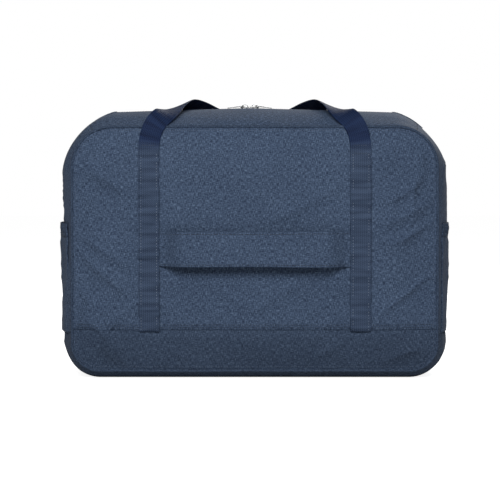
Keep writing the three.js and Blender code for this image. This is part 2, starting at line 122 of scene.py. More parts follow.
def smoothstep(low, high, value):
    share = np.clip((value - low) / (high - low), 0, 1)
    return share * share * (3 - 2 * share)


def noise(u, v, seed):
    """Smooth noise from -1 to 1 on a lattice of random numbers, one per unit."""
    table = np.random.default_rng(seed).uniform(-1, 1, (128, 128))
    u, v = grid(u, v)
    iu, iv = np.floor(u).astype(int), np.floor(v).astype(int)
    fu, fv = u - iu, v - iv
    fu, fv = fu * fu * (3 - 2 * fu), fv * fv * (3 - 2 * fv)

    def at(a, b):
        return table[(iu + a) % 128, (iv + b) % 128]

    low = at(0, 0) * (1 - fu) + at(1, 0) * fu
    high = at(0, 1) * (1 - fu) + at(1, 1) * fu
    return low * (1 - fv) + high * fv


def new_object(name, vertices, faces, uvs=None):
    """A mesh object from millimetre vertices. uvs is one (u, v) for each vertex, in mm."""
    mesh = bpy.data.meshes.new(name)
    mesh.from_pydata((np.asarray(vertices) * MM).tolist(), [], faces)
    mesh.polygons.foreach_set("use_smooth", [True] * len(mesh.polygons))
    if uvs is not None:
        layer = mesh.uv_layers.new(name="cloth")
        loops = np.zeros(len(mesh.loops), np.int32)
        mesh.loops.foreach_get("vertex_index", loops)
        layer.data.foreach_set("uv", (np.asarray(uvs)[loops] * MM).astype(np.float32).ravel())
    obj = bpy.data.objects.new(name, mesh)
    bpy.context.scene.collection.objects.link(obj)
    return obj


def bake_modifiers(obj):
    """Applies the modifiers of an object to its mesh."""
    graph = bpy.context.evaluated_depsgraph_get()
    mesh = bpy.data.meshes.new_from_object(obj.evaluated_get(graph))
    old = obj.data
    obj.modifiers.clear()
    obj.data = mesh
    bpy.data.meshes.remove(old)
    mesh.name = obj.name
    return obj


def face_outwards(obj):
    """Turns the faces of a closed mesh to look out."""
    mesh = bmesh.new()
    mesh.from_mesh(obj.data)
    bmesh.ops.recalc_face_normals(mesh, faces=mesh.faces)
    mesh.to_mesh(obj.data)
    mesh.free()
    return obj


def ring_faces(rings, sides, base=0):
    """Quads between rings of vertices that follow each other from index base."""
    faces = []
    for k in range(rings - 1):
        for m in range(sides):
            a, b = base + k * sides + m, base + k * sides + (m + 1) % sides
            faces.append((a, b, b + sides, a + sides))
    return faces


def end_faces(rings, sides, base=0):
    """The two faces that close a row of rings."""
    first, last = range(base, base + sides), range(base + (rings - 1) * sides, base + rings * sides)
    return [tuple(reversed(first)), tuple(last)]


def along_line(line):
    """How far along a line each of its points is."""
    return np.concatenate([[0], np.cumsum(np.linalg.norm(np.diff(line, axis=0), axis=1))])


def unit(vectors):
    return vectors / np.linalg.norm(vectors, axis=-1)[..., None]


def grid(*axes):
    """Arrays of one shape from rows and columns."""
    return [np.array(a) for a in np.broadcast_arrays(*(np.asarray(axis, float) for axis in axes))]


def stack(*parts):
    """Points whose coordinates are the parts, spread to one shape."""
    return np.stack(grid(*parts), -1)


def interpolate(at, places, rows):
    """Rows of values that are known at some places, filled in at others."""
    return np.stack([np.interp(at, places, column) for column in rows.T], -1)


def round_angles(count):
    return np.linspace(0, 2 * math.pi, count, endpoint=False)


def frontward(line):
    """One vector to the bag's front for each point of a line."""
    return np.tile([0, 1.0, 0], (len(line), 1))


def finish_piece(obj, look, slot, body="bag", nodes=()):
    obj.data.materials.clear()
    obj.data.materials.append(look)
    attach(obj, body)
    if nodes:
        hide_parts(*nodes)
    return obj


def grid_faces(rows, columns, flip=False):
    index = np.arange(rows * columns).reshape(rows, columns)
    quads = np.stack([index[:-1, :-1], index[:-1, 1:], index[1:, 1:], index[1:, :-1]], -1)
    quads = quads.reshape(-1, 4)
    return (quads[:, ::-1] if flip else quads).tolist()


def cloth_sheet(name, points, uvs, thickness=CLOTH, flip=False):
    """A sheet of cloth from a grid of outer points; its thickness goes inwards."""
    rows, columns = points.shape[:2]
    faces = grid_faces(rows, columns, flip)
    obj = new_object(name, points.reshape(-1, 3), faces, uvs.reshape(-1, 2))
    solid = obj.modifiers.new("thickness", "SOLIDIFY")
    solid.thickness = thickness * MM
    solid.offset = -1
    return bake_modifiers(obj)


def declare_sheet(obj, uvs, held, **more):
    """Turns a piece of cloth's layout in mm into an array and does nothing more with it."""
    uvs = np.asarray(uvs, float)


# ---------- seam outline

cx, cz = HALF - TOP_CORNER, HIGH - TOP_CORNER
lx, lz = HALF - LOW_CORNER, LOW + LOW_CORNER
QUARTER = math.pi / 2
# the outline's parts from the middle of the base up to the middle of the top
PARTS = [lx, QUARTER * LOW_CORNER, cz - lz, QUARTER * TOP_CORNER, cx]
ENDS = np.cumsum(PARTS)
LENGTH = 2 * ENDS[-1]
SIDE_START = ENDS[1]
CORNER_START = ENDS[2]
BOOT_STATION = SIDE_START + SIDE_BOOT - lz
TOP_STATION = CORNER_START + TOP_CORNER * math.pi / 3


def outline(station):
    """x, z and the outward normal at a station along the seam, in mm from the base's middle."""
    station = np.asarray(station, float) % LENGTH
    left = station > LENGTH / 2
    s = np.where(left, LENGTH - station, station)
    low_turn = np.clip((s - ENDS[0]) / LOW_CORNER, 0, QUARTER)
    top_turn = np.clip((s - ENDS[2]) / TOP_CORNER, 0, QUARTER)
    cases = [s < end for end in ENDS[:4]]
    widths = [s, lx + LOW_CORNER * np.sin(low_turn), HALF, cx + TOP_CORNER * np.cos(top_turn)]
    upper = cz + TOP_CORNER * np.sin(top_turn)
    heights = [LOW, lz - LOW_CORNER * np.cos(low_turn), lz + s - ENDS[1], upper]
    x = np.select(cases, widths, ENDS[4] - s)
    z = np.select(cases, heights, HIGH)
    turn = np.where(s < ENDS[2], low_turn - QUARTER, top_turn)
    sign = np.where(left, -1.0, 1.0)
    return x * sign, z, np.cos(turn) * sign, np.sin(turn)


def half_width(z):
    top = np.clip(z - cz, 0, TOP_CORNER)
    low = np.clip(lz - z, 0, LOW_CORNER)
    upper = cx + np.sqrt(TOP_CORNER**2 - top**2)
    lower = lx + np.sqrt(LOW_CORNER**2 - low**2)
    return np.where(z > cz, upper, np.where(z < lz, lower, HALF))


# ---------- shape of the stuffed bag

REACH = 60.0  # how far in from its seams a face reaches its full bulge
FRONT_HELD = 101.0  # the pouch holds the front face down to this far out
CORNER_SLACK = 0.36  # share of its bulge that the gusset loses in the upper corners
SETTLE = 1.6  # the contents push the lower half of the faces this much further out


def ripple(along, away, pitch, depth, reach, seed):
    """Puckers across a row of stitches: quick along it, gone after a short reach."""
    return depth * np.exp(-np.abs(away) / reach) * noise(along / pitch, away / (3 * reach) + seed, seed)


def crease(along, across, length, width, seed):
    """Soft-edged creases from 0 to 1, longer one way than the other."""
    bend = 0.7 * noise(along / (0.8 * length), across / (2.5 * width), seed + 1)
    return (1 - np.abs(noise(across / width + bend, along / length, seed))) ** 4


def face_out(side, x, z):
    """How far out of the middle plane the outer side of a face is, wrinkles included."""
    x, z = grid(x, z)
    seed = 10 if side < 0 else 40
    dx = np.maximum(half_width(z) - np.abs(x), 0)
    dz = np.maximum(np.minimum(HIGH - z, z - LOW), 0)
    rise = np.sin(QUARTER * np.clip(dx / REACH, 0, 1))
    rise = rise * np.sin(QUARTER * np.clip(dz / REACH, 0, 1))
    out = SEAM_Y + FACE_BULGE * rise
    out += SETTLE * rise * smoothstep(230, 70, z)
    inside = smoothstep(0, 34, np.minimum(dx, dz))
    edge = smoothstep(0, 3, np.minimum(dx, dz))
    out += inside * 2.6 * noise(x / 92, z / 74, seed)
    out += inside * 1.7 * noise(x / 38 + 0.4 * noise(x / 80, z / 60, seed + 9), z / 46, seed + 1)
    # soft slanting folds that run in from the upper corners and the sides
    slant = (z - 0.55 * np.abs(x)) / 15 + 0.8 * noise(x / 60, z / 60, seed + 2)
    corner = smoothstep(70, 190, np.abs(x)) * smoothstep(120, 260, z)
    out += inside * 1.0 * corner * noise(slant, x / 120, seed + 3)
    beside = np.maximum(np.abs(np.abs(x) - STRAP_X) - WEB_WIDTH / 2, 0)
    reach_in = inside * smoothstep(2, 22, beside) * (0.45 + 0.55 * smoothstep(60, 190, np.abs(x)))
    tilt = 0.8 * x + 0.6 * np.abs(z - 150)
    out += reach_in * 6.0 * crease(tilt, 0.8 * z - 0.5 * np.abs(x), 85, 27, seed + 30)
    out += reach_in * 3.4 * crease(0.9 * z + 0.3 * x, 0.9 * x - 0.3 * z, 70, 24, seed + 33)
    # puckers along the outline, the seam of the lower cloth and the straps
    strap = smoothstep(SEWN_TOP + 8, SEWN_TOP - 12, z) * smoothstep(BOOT - 4, BOOT + 8, z)
    strap_row = z + np.where(x > 0, 300, 0)  # each strap has puckers of its own
    rows = [
        (z, dx, edge, [(8, 0.8, 10, 4), (24, 1.3, 26, 5)]),
        (x, dz, edge, [(8, 0.8, 10, 6), (28, 1.3, 26, 7)]),
        (x, z - BOOT, edge, [(9, 0.9, 9, 8), (30, 1.2, 22, 18)]),
        (strap_row, beside, edge * strap, [(7.5, 0.8, 10, 11), (22, 1.2, 28, 12)]),
    ]
    for along, away, strength, waves in rows:
        for pitch, depth, reach, number in waves:
            out += strength * ripple(along, away, pitch, depth, reach, seed + number)
    out -= edge * strap * 0.7 * np.exp(-beside / 5)
    # the lower cloth's seam is a shallow valley with the upper cloth turned over it
    out -= edge * 1.9 * np.exp(-(((z - BOOT) / 4.0) ** 2))
    if side > 0:  # the pouch and its zipper hold the front face down
        held = smoothstep(120, 108, np.abs(x)) * smoothstep(240, 226, z) * smoothstep(60, 80, z)
        out -= held * np.maximum(out - FRONT_HELD, 0)
    return out


def gusset(station, y):
    """Outer points of the gusset, wrinkles included, with a wrinkle-free outward normal."""
    station, y = grid(station, y)
    x, z, nx, nz = outline(station)
    share = np.clip(np.abs(y) / SEAM_Y, 0, 1)
    round_shape = 1 - share**2.5
    flat_shape = 1 - np.clip((share - BASE_FLAT) / (1 - BASE_FLAT), 0, 1) ** 2
    crest = CREST - CREST_SLOPE * np.abs(x - MEET_X)
    down, up = np.clip(-nz, 0, 1), np.clip(nz, 0, 1)
    reach = SIDE_BULGE + (crest - SIDE_BULGE) * up
    reach = reach + (LOW - reach) * down
    # the cloth lies slack and close to the seams where the top turns into the sides
    reach = reach * (1 - CORNER_SLACK * np.clip(2 * up * np.abs(nx), 0, 1))
    out = reach * (round_shape + (flat_shape - round_shape) * down)
    free = smoothstep(0.9, 0.2, down)
    zip_clear = 1 - up * smoothstep(26, 14, np.abs(y)) * smoothstep(TOP_END, TOP_END - 20, np.abs(x))
    away = SEAM_Y - np.abs(y)
    edge = smoothstep(0, 3, away)
    inside = smoothstep(0, 26, away)
    row = np.where(y > 0, 5000, 0)  # each seam has puckers of its own
    extra = inside * 1.6 * noise(station / 85, y / 60, 71)
    extra += inside * 0.8 * noise(station / 40, y / 44, 72)
    side_in = inside * (1 - 0.75 * up)
    extra += side_in * 1.3 * crease(station + 0.4 * y, y - 0.3 * station, 80, 26, 91)
    extra += side_in * 1.0 * crease(y + 0.5 * station, 0.8 * station - 0.5 * y, 70, 24, 93)
    extra += edge * ripple(station + row, away, 8, 0.8, 9, 73)
    extra += edge * ripple(station + row, away, 25, 1.4, 20, 74)
    fold = np.abs(station - BOOT_STATION), np.abs(LENGTH - station - BOOT_STATION)
    boot = np.minimum(*fold)
    extra += edge * ripple(y + 900, boot, 10, 0.5, 8, 75) - 0.9 * np.exp(-((boot / 5) ** 2))
    out = out + extra * free * zip_clear
    return stack(x + nx * out, y, z + nz * out), stack(nx, 0, nz)


# ---------- materials


class Nodes:
    """A thin helper for building a material's node tree."""

    def __init__(self, name):
        self.material = bpy.data.materials.new(name)
        self.material.use_nodes = True
        self.tree = self.material.node_tree
        self.shader = self.tree.nodes["Principled BSDF"]

    def link(self, source, target):
        """Links an output to a socket; target may also be the name of a socket of the shader."""
        self.tree.links.new(source, self.shader.inputs[target] if isinstance(target, str) else target)

    def set(self, **values):
        """Sets sockets of the shader; an underscore in a name stands for a space."""
        for name, value in values.items():
            self.shader.inputs[name.replace("_", " ")].default_value = value

    def node(self, kind, **settings):
        node = self.tree.nodes.new(kind)
        for key, value in settings.items():
            setattr(node, key, value)
        return node

    def feed(self, node, **inputs):
        for key, value in inputs.items():
            socket = node.inputs[int(key[1:])] if key[1:].isdigit() else node.inputs[key]
            if hasattr(value, "is_output"):
                self.link(value, socket)
            else:
                socket.default_value = value
        return node

    def math(self, operation, a, b=0.0, clamp=False):
        node = self.node("ShaderNodeMath", operation=operation, use_clamp=clamp)
        return self.feed(node, i0=a, i1=b).outputs[0]

    def total(self, *terms):
        """The sum of (value, weight) terms."""
        parts = [self.math("MULTIPLY", value, weight) for value, weight in terms]
        for part in parts[1:]:
            parts[0] = self.math("ADD", parts[0], part)
        return parts[0]

    def scaled(self, vector, sx, sy):
        return self.feed(self.node("ShaderNodeMapping"), Scale=(sx, sy, 1), Vector=vector).outputs[0]

    def noise(self, vector, scale, detail, rough):
        node = self.node("ShaderNodeTexNoise")
        self.feed(node, Vector=vector, Scale=scale, Detail=detail, Roughness=rough)
        return node.outputs["Fac"]

    def ramp(self, factor, stops):
        node = self.node("ShaderNodeValToRGB")
        marks = node.color_ramp.elements
        for mark, (position, color) in zip(marks, (stops[0], stops[-1])):
            mark.position, mark.color = position, (*color, 1)
        for position, color in stops[1:-1]:
            marks.new(position).color = (*color, 1)
        self.link(factor, node.inputs["Fac"])
        return node.outputs["Color"]

    def bump(self, height, distance, strength):
        node = self.feed(self.node("ShaderNodeBump"), Strength=strength, Distance=distance, Height=height)
        self.link(node.outputs["Normal"], "Normal")


def heather_cloth(name, deep, middle, pale):
    """Plain weave of two-tone yarn: short pale and dark flecks along both directions."""
    n = Nodes(name)
    uv = n.node("ShaderNodeUVMap", uv_map="cloth").outputs[0]
    along = n.noise(n.scaled(uv, 240, 1500), 1, 1, 0.5)
    across = n.noise(n.scaled(uv, 1500, 240), 1, 1, 0.5)
    fine = n.noise(n.scaled(uv, 1700, 1700), 1, 1, 0.5)
    cloud = n.noise(n.scaled(uv, 14, 14), 1, 3, 0.6)
    mixed = n.total((along, 0.42), (across, 0.48), (fine, 0.10), (n.math("SUBTRACT", cloud, 0.5), 0.06))
    n.link(n.ramp(mixed, [(0.36, deep), (0.5, middle), (0.64, pale)]), "Base Color")
    threads = []
    for direction in "XY":
        wave = n.node("ShaderNodeTexWave", bands_direction=direction, wave_profile="SIN")
        n.feed(wave, Vector=uv, Scale=430.0, Distortion=1.0, Detail=1.0)
        threads.append(wave.outputs["Fac"])
    n.bump(n.total((n.math("MAXIMUM", *threads), 0.5), (mixed, 0.8)), 0.00016, 0.6)
    n.link(n.math("ADD", n.math("MULTIPLY", mixed, 0.2), 0.76), "Roughness")
    n.set(Sheen_Weight=0.02, Sheen_Roughness=0.4, Specular_IOR_Level=0.2)
    return n.material


def webbing(name, deep, pale, rib=WEB_WIDTH / 11, twill=2.2, lit_ends=None):
    """Ribbed webbing: ribs along its length and slanting picks across them.

    The last argument is (tones, length, total): webbing total mm long has these paler tones, painted light,
    on its first and last length mm, where it lies flat on the cloth; the darker tones of the free part are
    painted shade.
    """
    n = Nodes(name)
    uv = n.node("ShaderNodeUVMap", uv_map="cloth").outputs[0]
    u, v = n.feed(n.node("ShaderNodeSeparateXYZ"), Vector=uv).outputs[:2]
    turn = 2 * math.pi / MM
    rib_wave = n.math("SINE", n.math("MULTIPLY", u, turn / rib))
    zigzag = n.math("PINGPONG", u, rib * MM)
    slanted = n.math("ADD", v, n.math("MULTIPLY", zigzag, 1.1))
    pick = n.math("SINE", n.math("MULTIPLY", slanted, turn / twill))
    yarn = n.noise(n.scaled(uv, 900, 500), 1, 2, 0.6)
    height = n.total((rib_wave, 0.35), (pick, 0.5))
    # the crease noise darkens the tone in soft cross bands: painted shade of the webbing's puckers
    creases = n.noise(n.scaled(uv, 16, 170), 1, 1, 0.5)
    shade = n.total((height, 0.38), (yarn, 0.25), (creases, 0.9))
    color = n.ramp(shade, [(0.2, deep), (0.85, pale)])
    # the sewn-down ends get paler tones as painted light, in place of the darker free tones, which are
    # painted shade
    if lit_ends:
        lit_tones, length, total = lit_ends
        nearest = n.math("MINIMUM", v, n.math("SUBTRACT", total * MM, v))
        inward = n.math("SUBTRACT", (length + 8) * MM, nearest)
        share = n.math("MULTIPLY", inward, 1 / (16 * MM), clamp=True)
        lit_color = n.ramp(shade, [(0.2, lit_tones[0]), (0.85, lit_tones[1])])
        mix = n.node("ShaderNodeMix", data_type="RGBA")
        color = n.feed(mix, i0=share, i6=color, i7=lit_color).outputs[2]
    n.link(color, "Base Color")
    n.bump(height, 0.00028, 0.8)
    n.set(Roughness=0.72, Specular_IOR_Level=0.16)
    return n.material


def plain_thread(name, color, roughness=0.6):
    n = Nodes(name)
    coordinate = n.node("ShaderNodeTexCoord").outputs["Object"]
    twist = n.noise(coordinate, 2600, 2, 0.5)
    dark = tuple(c * 0.72 for c in color)
    n.link(n.ramp(twist, [(0.35, dark), (0.65, color)]), "Base Color")
    n.bump(twist, 0.0001, 0.5)
    n.set(Roughness=roughness)
    return n.material


def nickel(name):
    n = Nodes(name)
    coordinate = n.node("ShaderNodeTexCoord").outputs["Object"]
    wear = n.noise(coordinate, 900, 4, 0.6)
    cast = n.noise(coordinate, 240, 2, 0.5)
    n.link(n.ramp(cast, [(0.3, (0.29, 0.30, 0.31)), (0.7, (0.43, 0.44, 0.45))]), "Base Color")
    n.set(Metallic=1)
    n.link(n.math("ADD", n.math("MULTIPLY", wear, 0.2), 0.17), "Roughness")
    n.bump(wear, 0.00006, 0.3)
    return n.material


NAVY = heather_cloth("navy_cloth", (0.013, 0.022, 0.044), (0.037, 0.059, 0.106), (0.100, 0.145, 0.222))
DARK = heather_cloth("lower_cloth", (0.010, 0.017, 0.035), (0.028, 0.045, 0.081), (0.075, 0.108, 0.166))
PIPED = heather_cloth("piping_cloth", (0.009, 0.016, 0.032), (0.026, 0.042, 0.076), (0.07, 0.102, 0.158))
# darkest and palest tone of the webbing where it hangs free, darker as painted shade, and where it is sewn
# down, paler as painted light
FREE_SHADED_TONES = (0.0015, 0.005, 0.022), (0.012, 0.027, 0.078)
SEWN_LIT_TONES = (0.010, 0.018, 0.040), (0.052, 0.079, 0.135)
SHADED_WEBBING = webbing("webbing", *FREE_SHADED_TONES)
LIT_SEWN_WEBBING = webbing("lit_sewn_webbing", *SEWN_LIT_TONES)
TAPE = webbing("zipper_tape", (0.006, 0.010, 0.022), (0.022, 0.033, 0.06), rib=1.1, twill=0.9)
COIL = plain_thread("zipper_coil", (0.016, 0.022, 0.038), 0.38)
THREAD = plain_thread("thread", (0.055, 0.082, 0.135))
DARK_THREAD = plain_thread("dark_thread", (0.009, 0.015, 0.031))
PALE_THREAD = plain_thread("pale_thread", (0.16, 0.21, 0.29))
NICKEL = nickel("nickel")

# ---------- cloth of the body


def face_rows(low, high):
    """Heights of the rows of a face, closer together in the round corners."""
    step = 2.6
    turns = np.linspace(0, QUARTER, 22)
    lower = lz - LOW_CORNER * np.cos(turns)
    upper = cz + TOP_CORNER * np.sin(turns)
    middle = np.arange(lz + step, cz - 0.5 * step, step)
    rows = np.concatenate([lower, middle, upper])
    rows = rows[(rows > low + 0.4) & (rows < high - 0.4)]
    return np.concatenate([[low], rows, [high]])


def face_piece(name, side, low, high, look, slot, nodes):
    z = face_rows(low, high)[:, None]
    u = np.sin(np.linspace(-QUARTER, QUARTER, 171))[None, :]
    x, z = grid(u * half_width(z), z)
    uvs = stack(x, z)
    points = stack(x, side * face_out(side, x, z), z)
    obj = cloth_sheet(name, points, uvs, flip=side > 0)
    finish_piece(obj, look, slot, nodes=nodes)
    declare_sheet(obj, uvs, "stretched")


for side, word in SIDES:
    face_piece(f"{word}_face_cloth", side, BOOT - 0.2, HIGH, NAVY, "navy_cloth", [f"{word}_panel"])
    face_piece(f"{word}_lower_cloth", side, LOW, BOOT, DARK, "dark_cloth", [f"{word}_lower_panel"])


def gusset_piece(name, start, end, y_low, y_high, look, slot, node):
    step = 3.0
    stations = np.linspace(start, end, int(abs(end - start) / step) + 1)[:, None]
    y = np.linspace(y_low, y_high, int((y_high - y_low) / step) + 1)[None, :]
    stations, y = grid(stations, y)
    uvs = stack(y, stations)
    obj = cloth_sheet(name, gusset(stations, y)[0], uvs)
    finish_piece(obj, look, slot, nodes=[node])
    declare_sheet(obj, uvs, "stretched")


right_top, left_top = TOP_STATION, LENGTH - TOP_STATION
left_boot = LENGTH - BOOT_STATION
LAP_Y = TAPE_OUT - 5  # the edges of the top cloth lap over the zipper tapes
base = -BOOT_STATION, BOOT_STATION, -SEAM_Y, SEAM_Y
gusset_piece("base_cloth", *base, DARK, "dark_cloth", "bottom_gusset")
for name, start, end, y_low, y_high, node in (
    ("right_side_cloth", BOOT_STATION, right_top, -SEAM_Y, SEAM_Y, "side_gusset_right"),
    ("left_side_cloth", left_top, left_boot, -SEAM_Y, SEAM_Y, "side_gusset_left"),
    ("rear_top_cloth", right_top, left_top, -SEAM_Y, -LAP_Y, "top_gusset_rear"),
    ("front_top_cloth", right_top, left_top, LAP_Y, SEAM_Y, "top_gusset_front"),
):
    gusset_piece(name, start, end, y_low, y_high, NAVY, "navy_cloth", node)

# ---------- piping and stitching


def tube(name, centres, axis_a, axis_b, radii, sides=12):
    """A tube round a closed line of centres; axis_a and axis_b span its section."""
    angles = round_angles(sides)[None, :, None]
    section = axis_a[:, None] * np.cos(angles) + axis_b[:, None] * np.sin(angles)
    rings = centres[:, None] + section * radii[:, None, None]
    count = len(centres) * sides
    faces = [tuple(corner % count for corner in face) for face in ring_faces(len(centres) + 1, sides)]
    uvs = stack(along_line(centres)[:, None], np.arange(sides)[None, :] * 0.9)
    return face_outwards(new_object(name, rings.reshape(-1, 3), faces, uvs.reshape(-1, 2)))


def piping(side, word):
    stations = np.arange(0, LENGTH, 2.8)
    x, z, nx, nz = outline(stations)
    lift = 0.5 + 0.3 * noise(stations / 24, side * 3.3, 81)
    centres = stack(x + nx * lift, side * SEAM_Y, z + nz * lift)
    out = stack(nx, 0, nz)
    depth = stack(0 * nx, 1, 0)
    radii = PIPE * (0.98 + 0.07 * noise(stations / 6, side * 7.1, 82))
    obj = tube(f"{word}_piping_cloth", centres, out, depth, radii)
    return finish_piece(obj, PIPED, "piping", nodes=[f"piping_{word}"])


for side, word in SIDES:
    piping(side, word)

STITCH_RINGS, STITCH_SIDES = 5, 6


def stitches(name, line, normals, look, slot="navy_cloth", pitch=3.3, length=2.5, radius=0.26):
    """A row of raised stitches along a line that lies on a surface."""
    line, normals = np.asarray(line, float), np.asarray(normals, float)
    lengths = along_line(line)
    shares = np.linspace(0, 1, STITCH_RINGS)[:, None]
    arch = np.sin(math.pi * shares)
    size = (radius * (0.35 + 0.65 * arch**0.5))[..., None]
    angles = round_angles(STITCH_SIDES)[None, :, None]
    vertices, faces = [], []

    for start in np.arange(pitch / 2, lengths[-1] - length, pitch):
        at = start + shares[:, 0] * length
        points, out = interpolate(at, lengths, line), unit(interpolate(at, lengths, normals))
        across = np.cross(out, unit(points[-1] - points[0]))
        centres = points + out * (arch * 0.8 - 0.55) * radius
        ring = across[:, None] * np.cos(angles) * 1.15 + out[:, None] * np.sin(angles)
        faces += ring_faces(STITCH_RINGS, STITCH_SIDES, len(vertices))
        faces += end_faces(STITCH_RINGS, STITCH_SIDES, len(vertices))
        vertices += list((centres[:, None] + ring * size).reshape(-1, 3))
    return finish_piece(new_object(name, vertices, faces), look, slot)


def face_line(side, x, z):
    """Points on a face and its outward normals, for a row of stitches."""
    x, z = grid(x, z)
    slope_x = face_out(side, x + 0.5, z) - face_out(side, x - 0.5, z)
    slope_z = face_out(side, x, z + 0.5) - face_out(side, x, z - 0.5)
    points = stack(x, side * face_out(side, x, z), z)
    return points, unit(stack(-slope_x, side, -slope_z))


EDGE_STITCH = 4.2  # rows of stitches beside a seam


def inset_outline(distance):
    stations = np.arange(0, LENGTH, 2.0)
    x, z, nx, nz = outline(stations)
    return x - nx * distance, z - nz * distance


for side, word in SIDES:
    stitches(f"{word}_edge_stitches", *face_line(side, *inset_outline(EDGE_STITCH)), THREAD)
    wide = np.linspace(-HALF + 3, HALF - 3, 240)
    for name, height in (("upper", BOOT + 3.2), ("lower", BOOT + 6.4)):
        stitches(f"{word}_boot_stitches_{name}", *face_line(side, wide, height), DARK_THREAD)


for side, word in SIDES:
    stations = np.arange(BOOT_STATION, LENGTH - BOOT_STATION, 2.0)
    line = gusset(stations, side * (SEAM_Y - EDGE_STITCH))
    stitches(f"{word}_gusset_stitches", *line, THREAD)
depths = np.linspace(-SEAM_Y + 3, SEAM_Y - 3, 90)
for sign, word in ((1, "right"), (-1, "left")):
    for name, station in (("boot", BOOT_STATION + 4), ("top", TOP_STATION - 4)):
        stitches(f"{word}_{name}_stitches", *gusset(sign * station, depths), THREAD)

# ---------- webbing straps and handles


def between(first, second, start, end, at):
    return ((end - at) * first + (at - start) * second) / (end - start)


def curve_points(points, step):
    """A smooth line through given points (centripetal Catmull-Rom), evenly spaced."""
    points = np.asarray(points, float)
    ends = np.concatenate([[2 * points[0] - points[1]], points, [2 * points[-1] - points[-2]]])
    line = []
    for i in range(len(points) - 1):
        p = ends[i : i + 4]
        t = np.concatenate([[0], np.cumsum(np.sqrt(np.linalg.norm(np.diff(p, axis=0), axis=1)))])
        s = np.linspace(t[1], t[2], 40, endpoint=i == len(points) - 2)[:, None]
        a = [between(p[k], p[k + 1], t[k], t[k + 1], s) for k in range(3)]
        b = [between(a[k], a[k + 1], t[k], t[k + 2], s) for k in range(2)]
        line.append(between(*b, t[1], t[2], s))
    return resample(np.concatenate(line), step)


def resample(line, step):
    lengths = along_line(line)
    at = np.linspace(0, lengths[-1], int(round(lengths[-1] / step)) + 1)
    return interpolate(at, lengths, line)


ACROSS = 15  # points across a ribbon


def ribbon(name, line, facing, pucker=None):
    """A flat woven ribbon along a line. facing gives the way its outer side looks at each point."""
    tangent = unit(np.gradient(line, axis=0))
    across = unit(np.cross(facing, tangent))
    out = np.cross(tangent, across)
    lengths = along_line(line)
    place = np.sin(np.linspace(-QUARTER, QUARTER, ACROSS))
    half = np.sqrt(np.clip(1 - place**6, 0, 1)) * WEB / 2
    wave = pucker(lengths, place) if pucker else np.zeros((len(line), ACROSS))
    ring_place = np.concatenate([place, place[-2:0:-1]]) * WEB_WIDTH / 2
    ring_out = np.concatenate([wave + half, (wave - half)[:, -2:0:-1]], axis=1)
    rings = line[:, None] + across[:, None] * ring_place[None, :, None] + out[:, None] * ring_out[..., None]
    count, sides = rings.shape[:2]
    uvs = stack(ring_place[None, :], lengths[:, None])
    faces = ring_faces(count, sides) + end_faces(count, sides)
    return face_outwards(new_object(name, rings.reshape(-1, 3), faces, uvs.reshape(-1, 2)))


def declare_webbing(obj, line, held, **more):
    float(along_line(line)[-1] * MM)


def strap_route(side, x, low, high):
    """The middle of a sewn strap's webbing, on the face, from low to high."""
    z = np.arange(low, high, 2.0)
    out = np.maximum(face_out(side, x, z), SEAM_Y + PIPE) + 0.5 + WEB / 2
    return stack(x, side * out, z)


def strap_pucker(seed, sewn):
    """Cross puckers of webbing that its two rows of stitches have drawn in."""

    def wave(lengths, place):
        strength = smoothstep(sewn, sewn - 12, lengths)[:, None]
        swell = 1.45 * noise(lengths[:, None] / 5.2, 0.8 * place[None, :], seed)
        swell += 0.5 * noise(lengths[:, None] / 2.7, 1.1 * place[None, :], seed + 40)
        return strength * (swell + 0.35 * (1 - place[None, :] ** 2))

    return wave


def smooth_line(line, passes):
    for _ in range(passes):
        line = np.concatenate([line[:1], (line[:-2] + 2 * line[1:-1] + line[2:]) / 4, line[-1:]])
    return line


STRAP_LOW = BOOT - 1.5  # lower end of the sewn straps


def mirrored(points):
    points = np.asarray(points, float)
    return np.concatenate([points, points[-2::-1] * (-1, 1, 1)])


rear_loop = [
    (-124, -STRAP_TOP_Y - 0.8, STRAP_TOP - 12),
    (-120.5, -STRAP_TOP_Y - 0.8, STRAP_TOP - 1),
    (-115.5, -STRAP_TOP_Y + 1, 305),
    (-109, -82, 311.5),
    (-101.5, -62, 317),
    (-93.5, -32, 322.5),
    (-83, 2, 327),
    (-68, 38, 323.5),
    (-51, 76, 316),
    (-30, 95, 306),
    (0, 99, 302),
]
# the outer side of the webbing looks back, then up and sideways, then down the front
rear_facing = [
    (0, -1, 0.02),
    (0.02, -1, 0.12),
    (-0.12, -0.8, 0.5),
    (-0.38, -0.42, 0.8),
    (-0.5, -0.05, 0.86),
    (-0.42, 0.25, 0.85),
    (-0.25, 0.5, 0.8),
    (0, 0.75, 0.66),
    (0, 1, 0.35),
    (0, 1, 0.25),
]


def spread(values, count):
    """Values given at even steps, filled in to count entries."""
    values = np.asarray(values, float)
    at = np.linspace(0, len(values) - 1, count)
    return interpolate(at, np.arange(len(values)), values)


def rear_handle():
    """One ribbon: up the left strap, over the top, and down the right strap."""
    left, right = (strap_route(-1, x, STRAP_LOW, STRAP_TOP - 18) for x in (-STRAP_X, STRAP_X))
    free = curve_points(mirrored(rear_loop), 2.5)
    line = smooth_line(np.concatenate([left, free, right[::-1]]), 6)
    flat = -frontward(left)
    facing = np.concatenate([flat, spread(mirrored(rear_facing), len(free)), flat])
    total = along_line(line)[-1]
    sewn = SEWN_TOP - STRAP_LOW
    first, last = strap_pucker(91, sewn), strap_pucker(92, sewn)

    def pucker(lengths, place):
        return first(lengths, place) + last(total - lengths, place)

    obj = ribbon("rear_handle_webbing", line, smooth_line(facing, 12), pucker)
    # the sewn ends are painted paler and the free loop darker: painted light and painted shade on one
    # webbing
    obj.data.materials.append(webbing("rear_webbing", *FREE_SHADED_TONES, lit_ends=(SEWN_LIT_TONES, sewn, total)))
    declare_webbing(obj, line, "hung")
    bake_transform(obj)
    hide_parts("handle_rear_loop", "strap_rear_left", "strap_rear_right")


rear_handle()

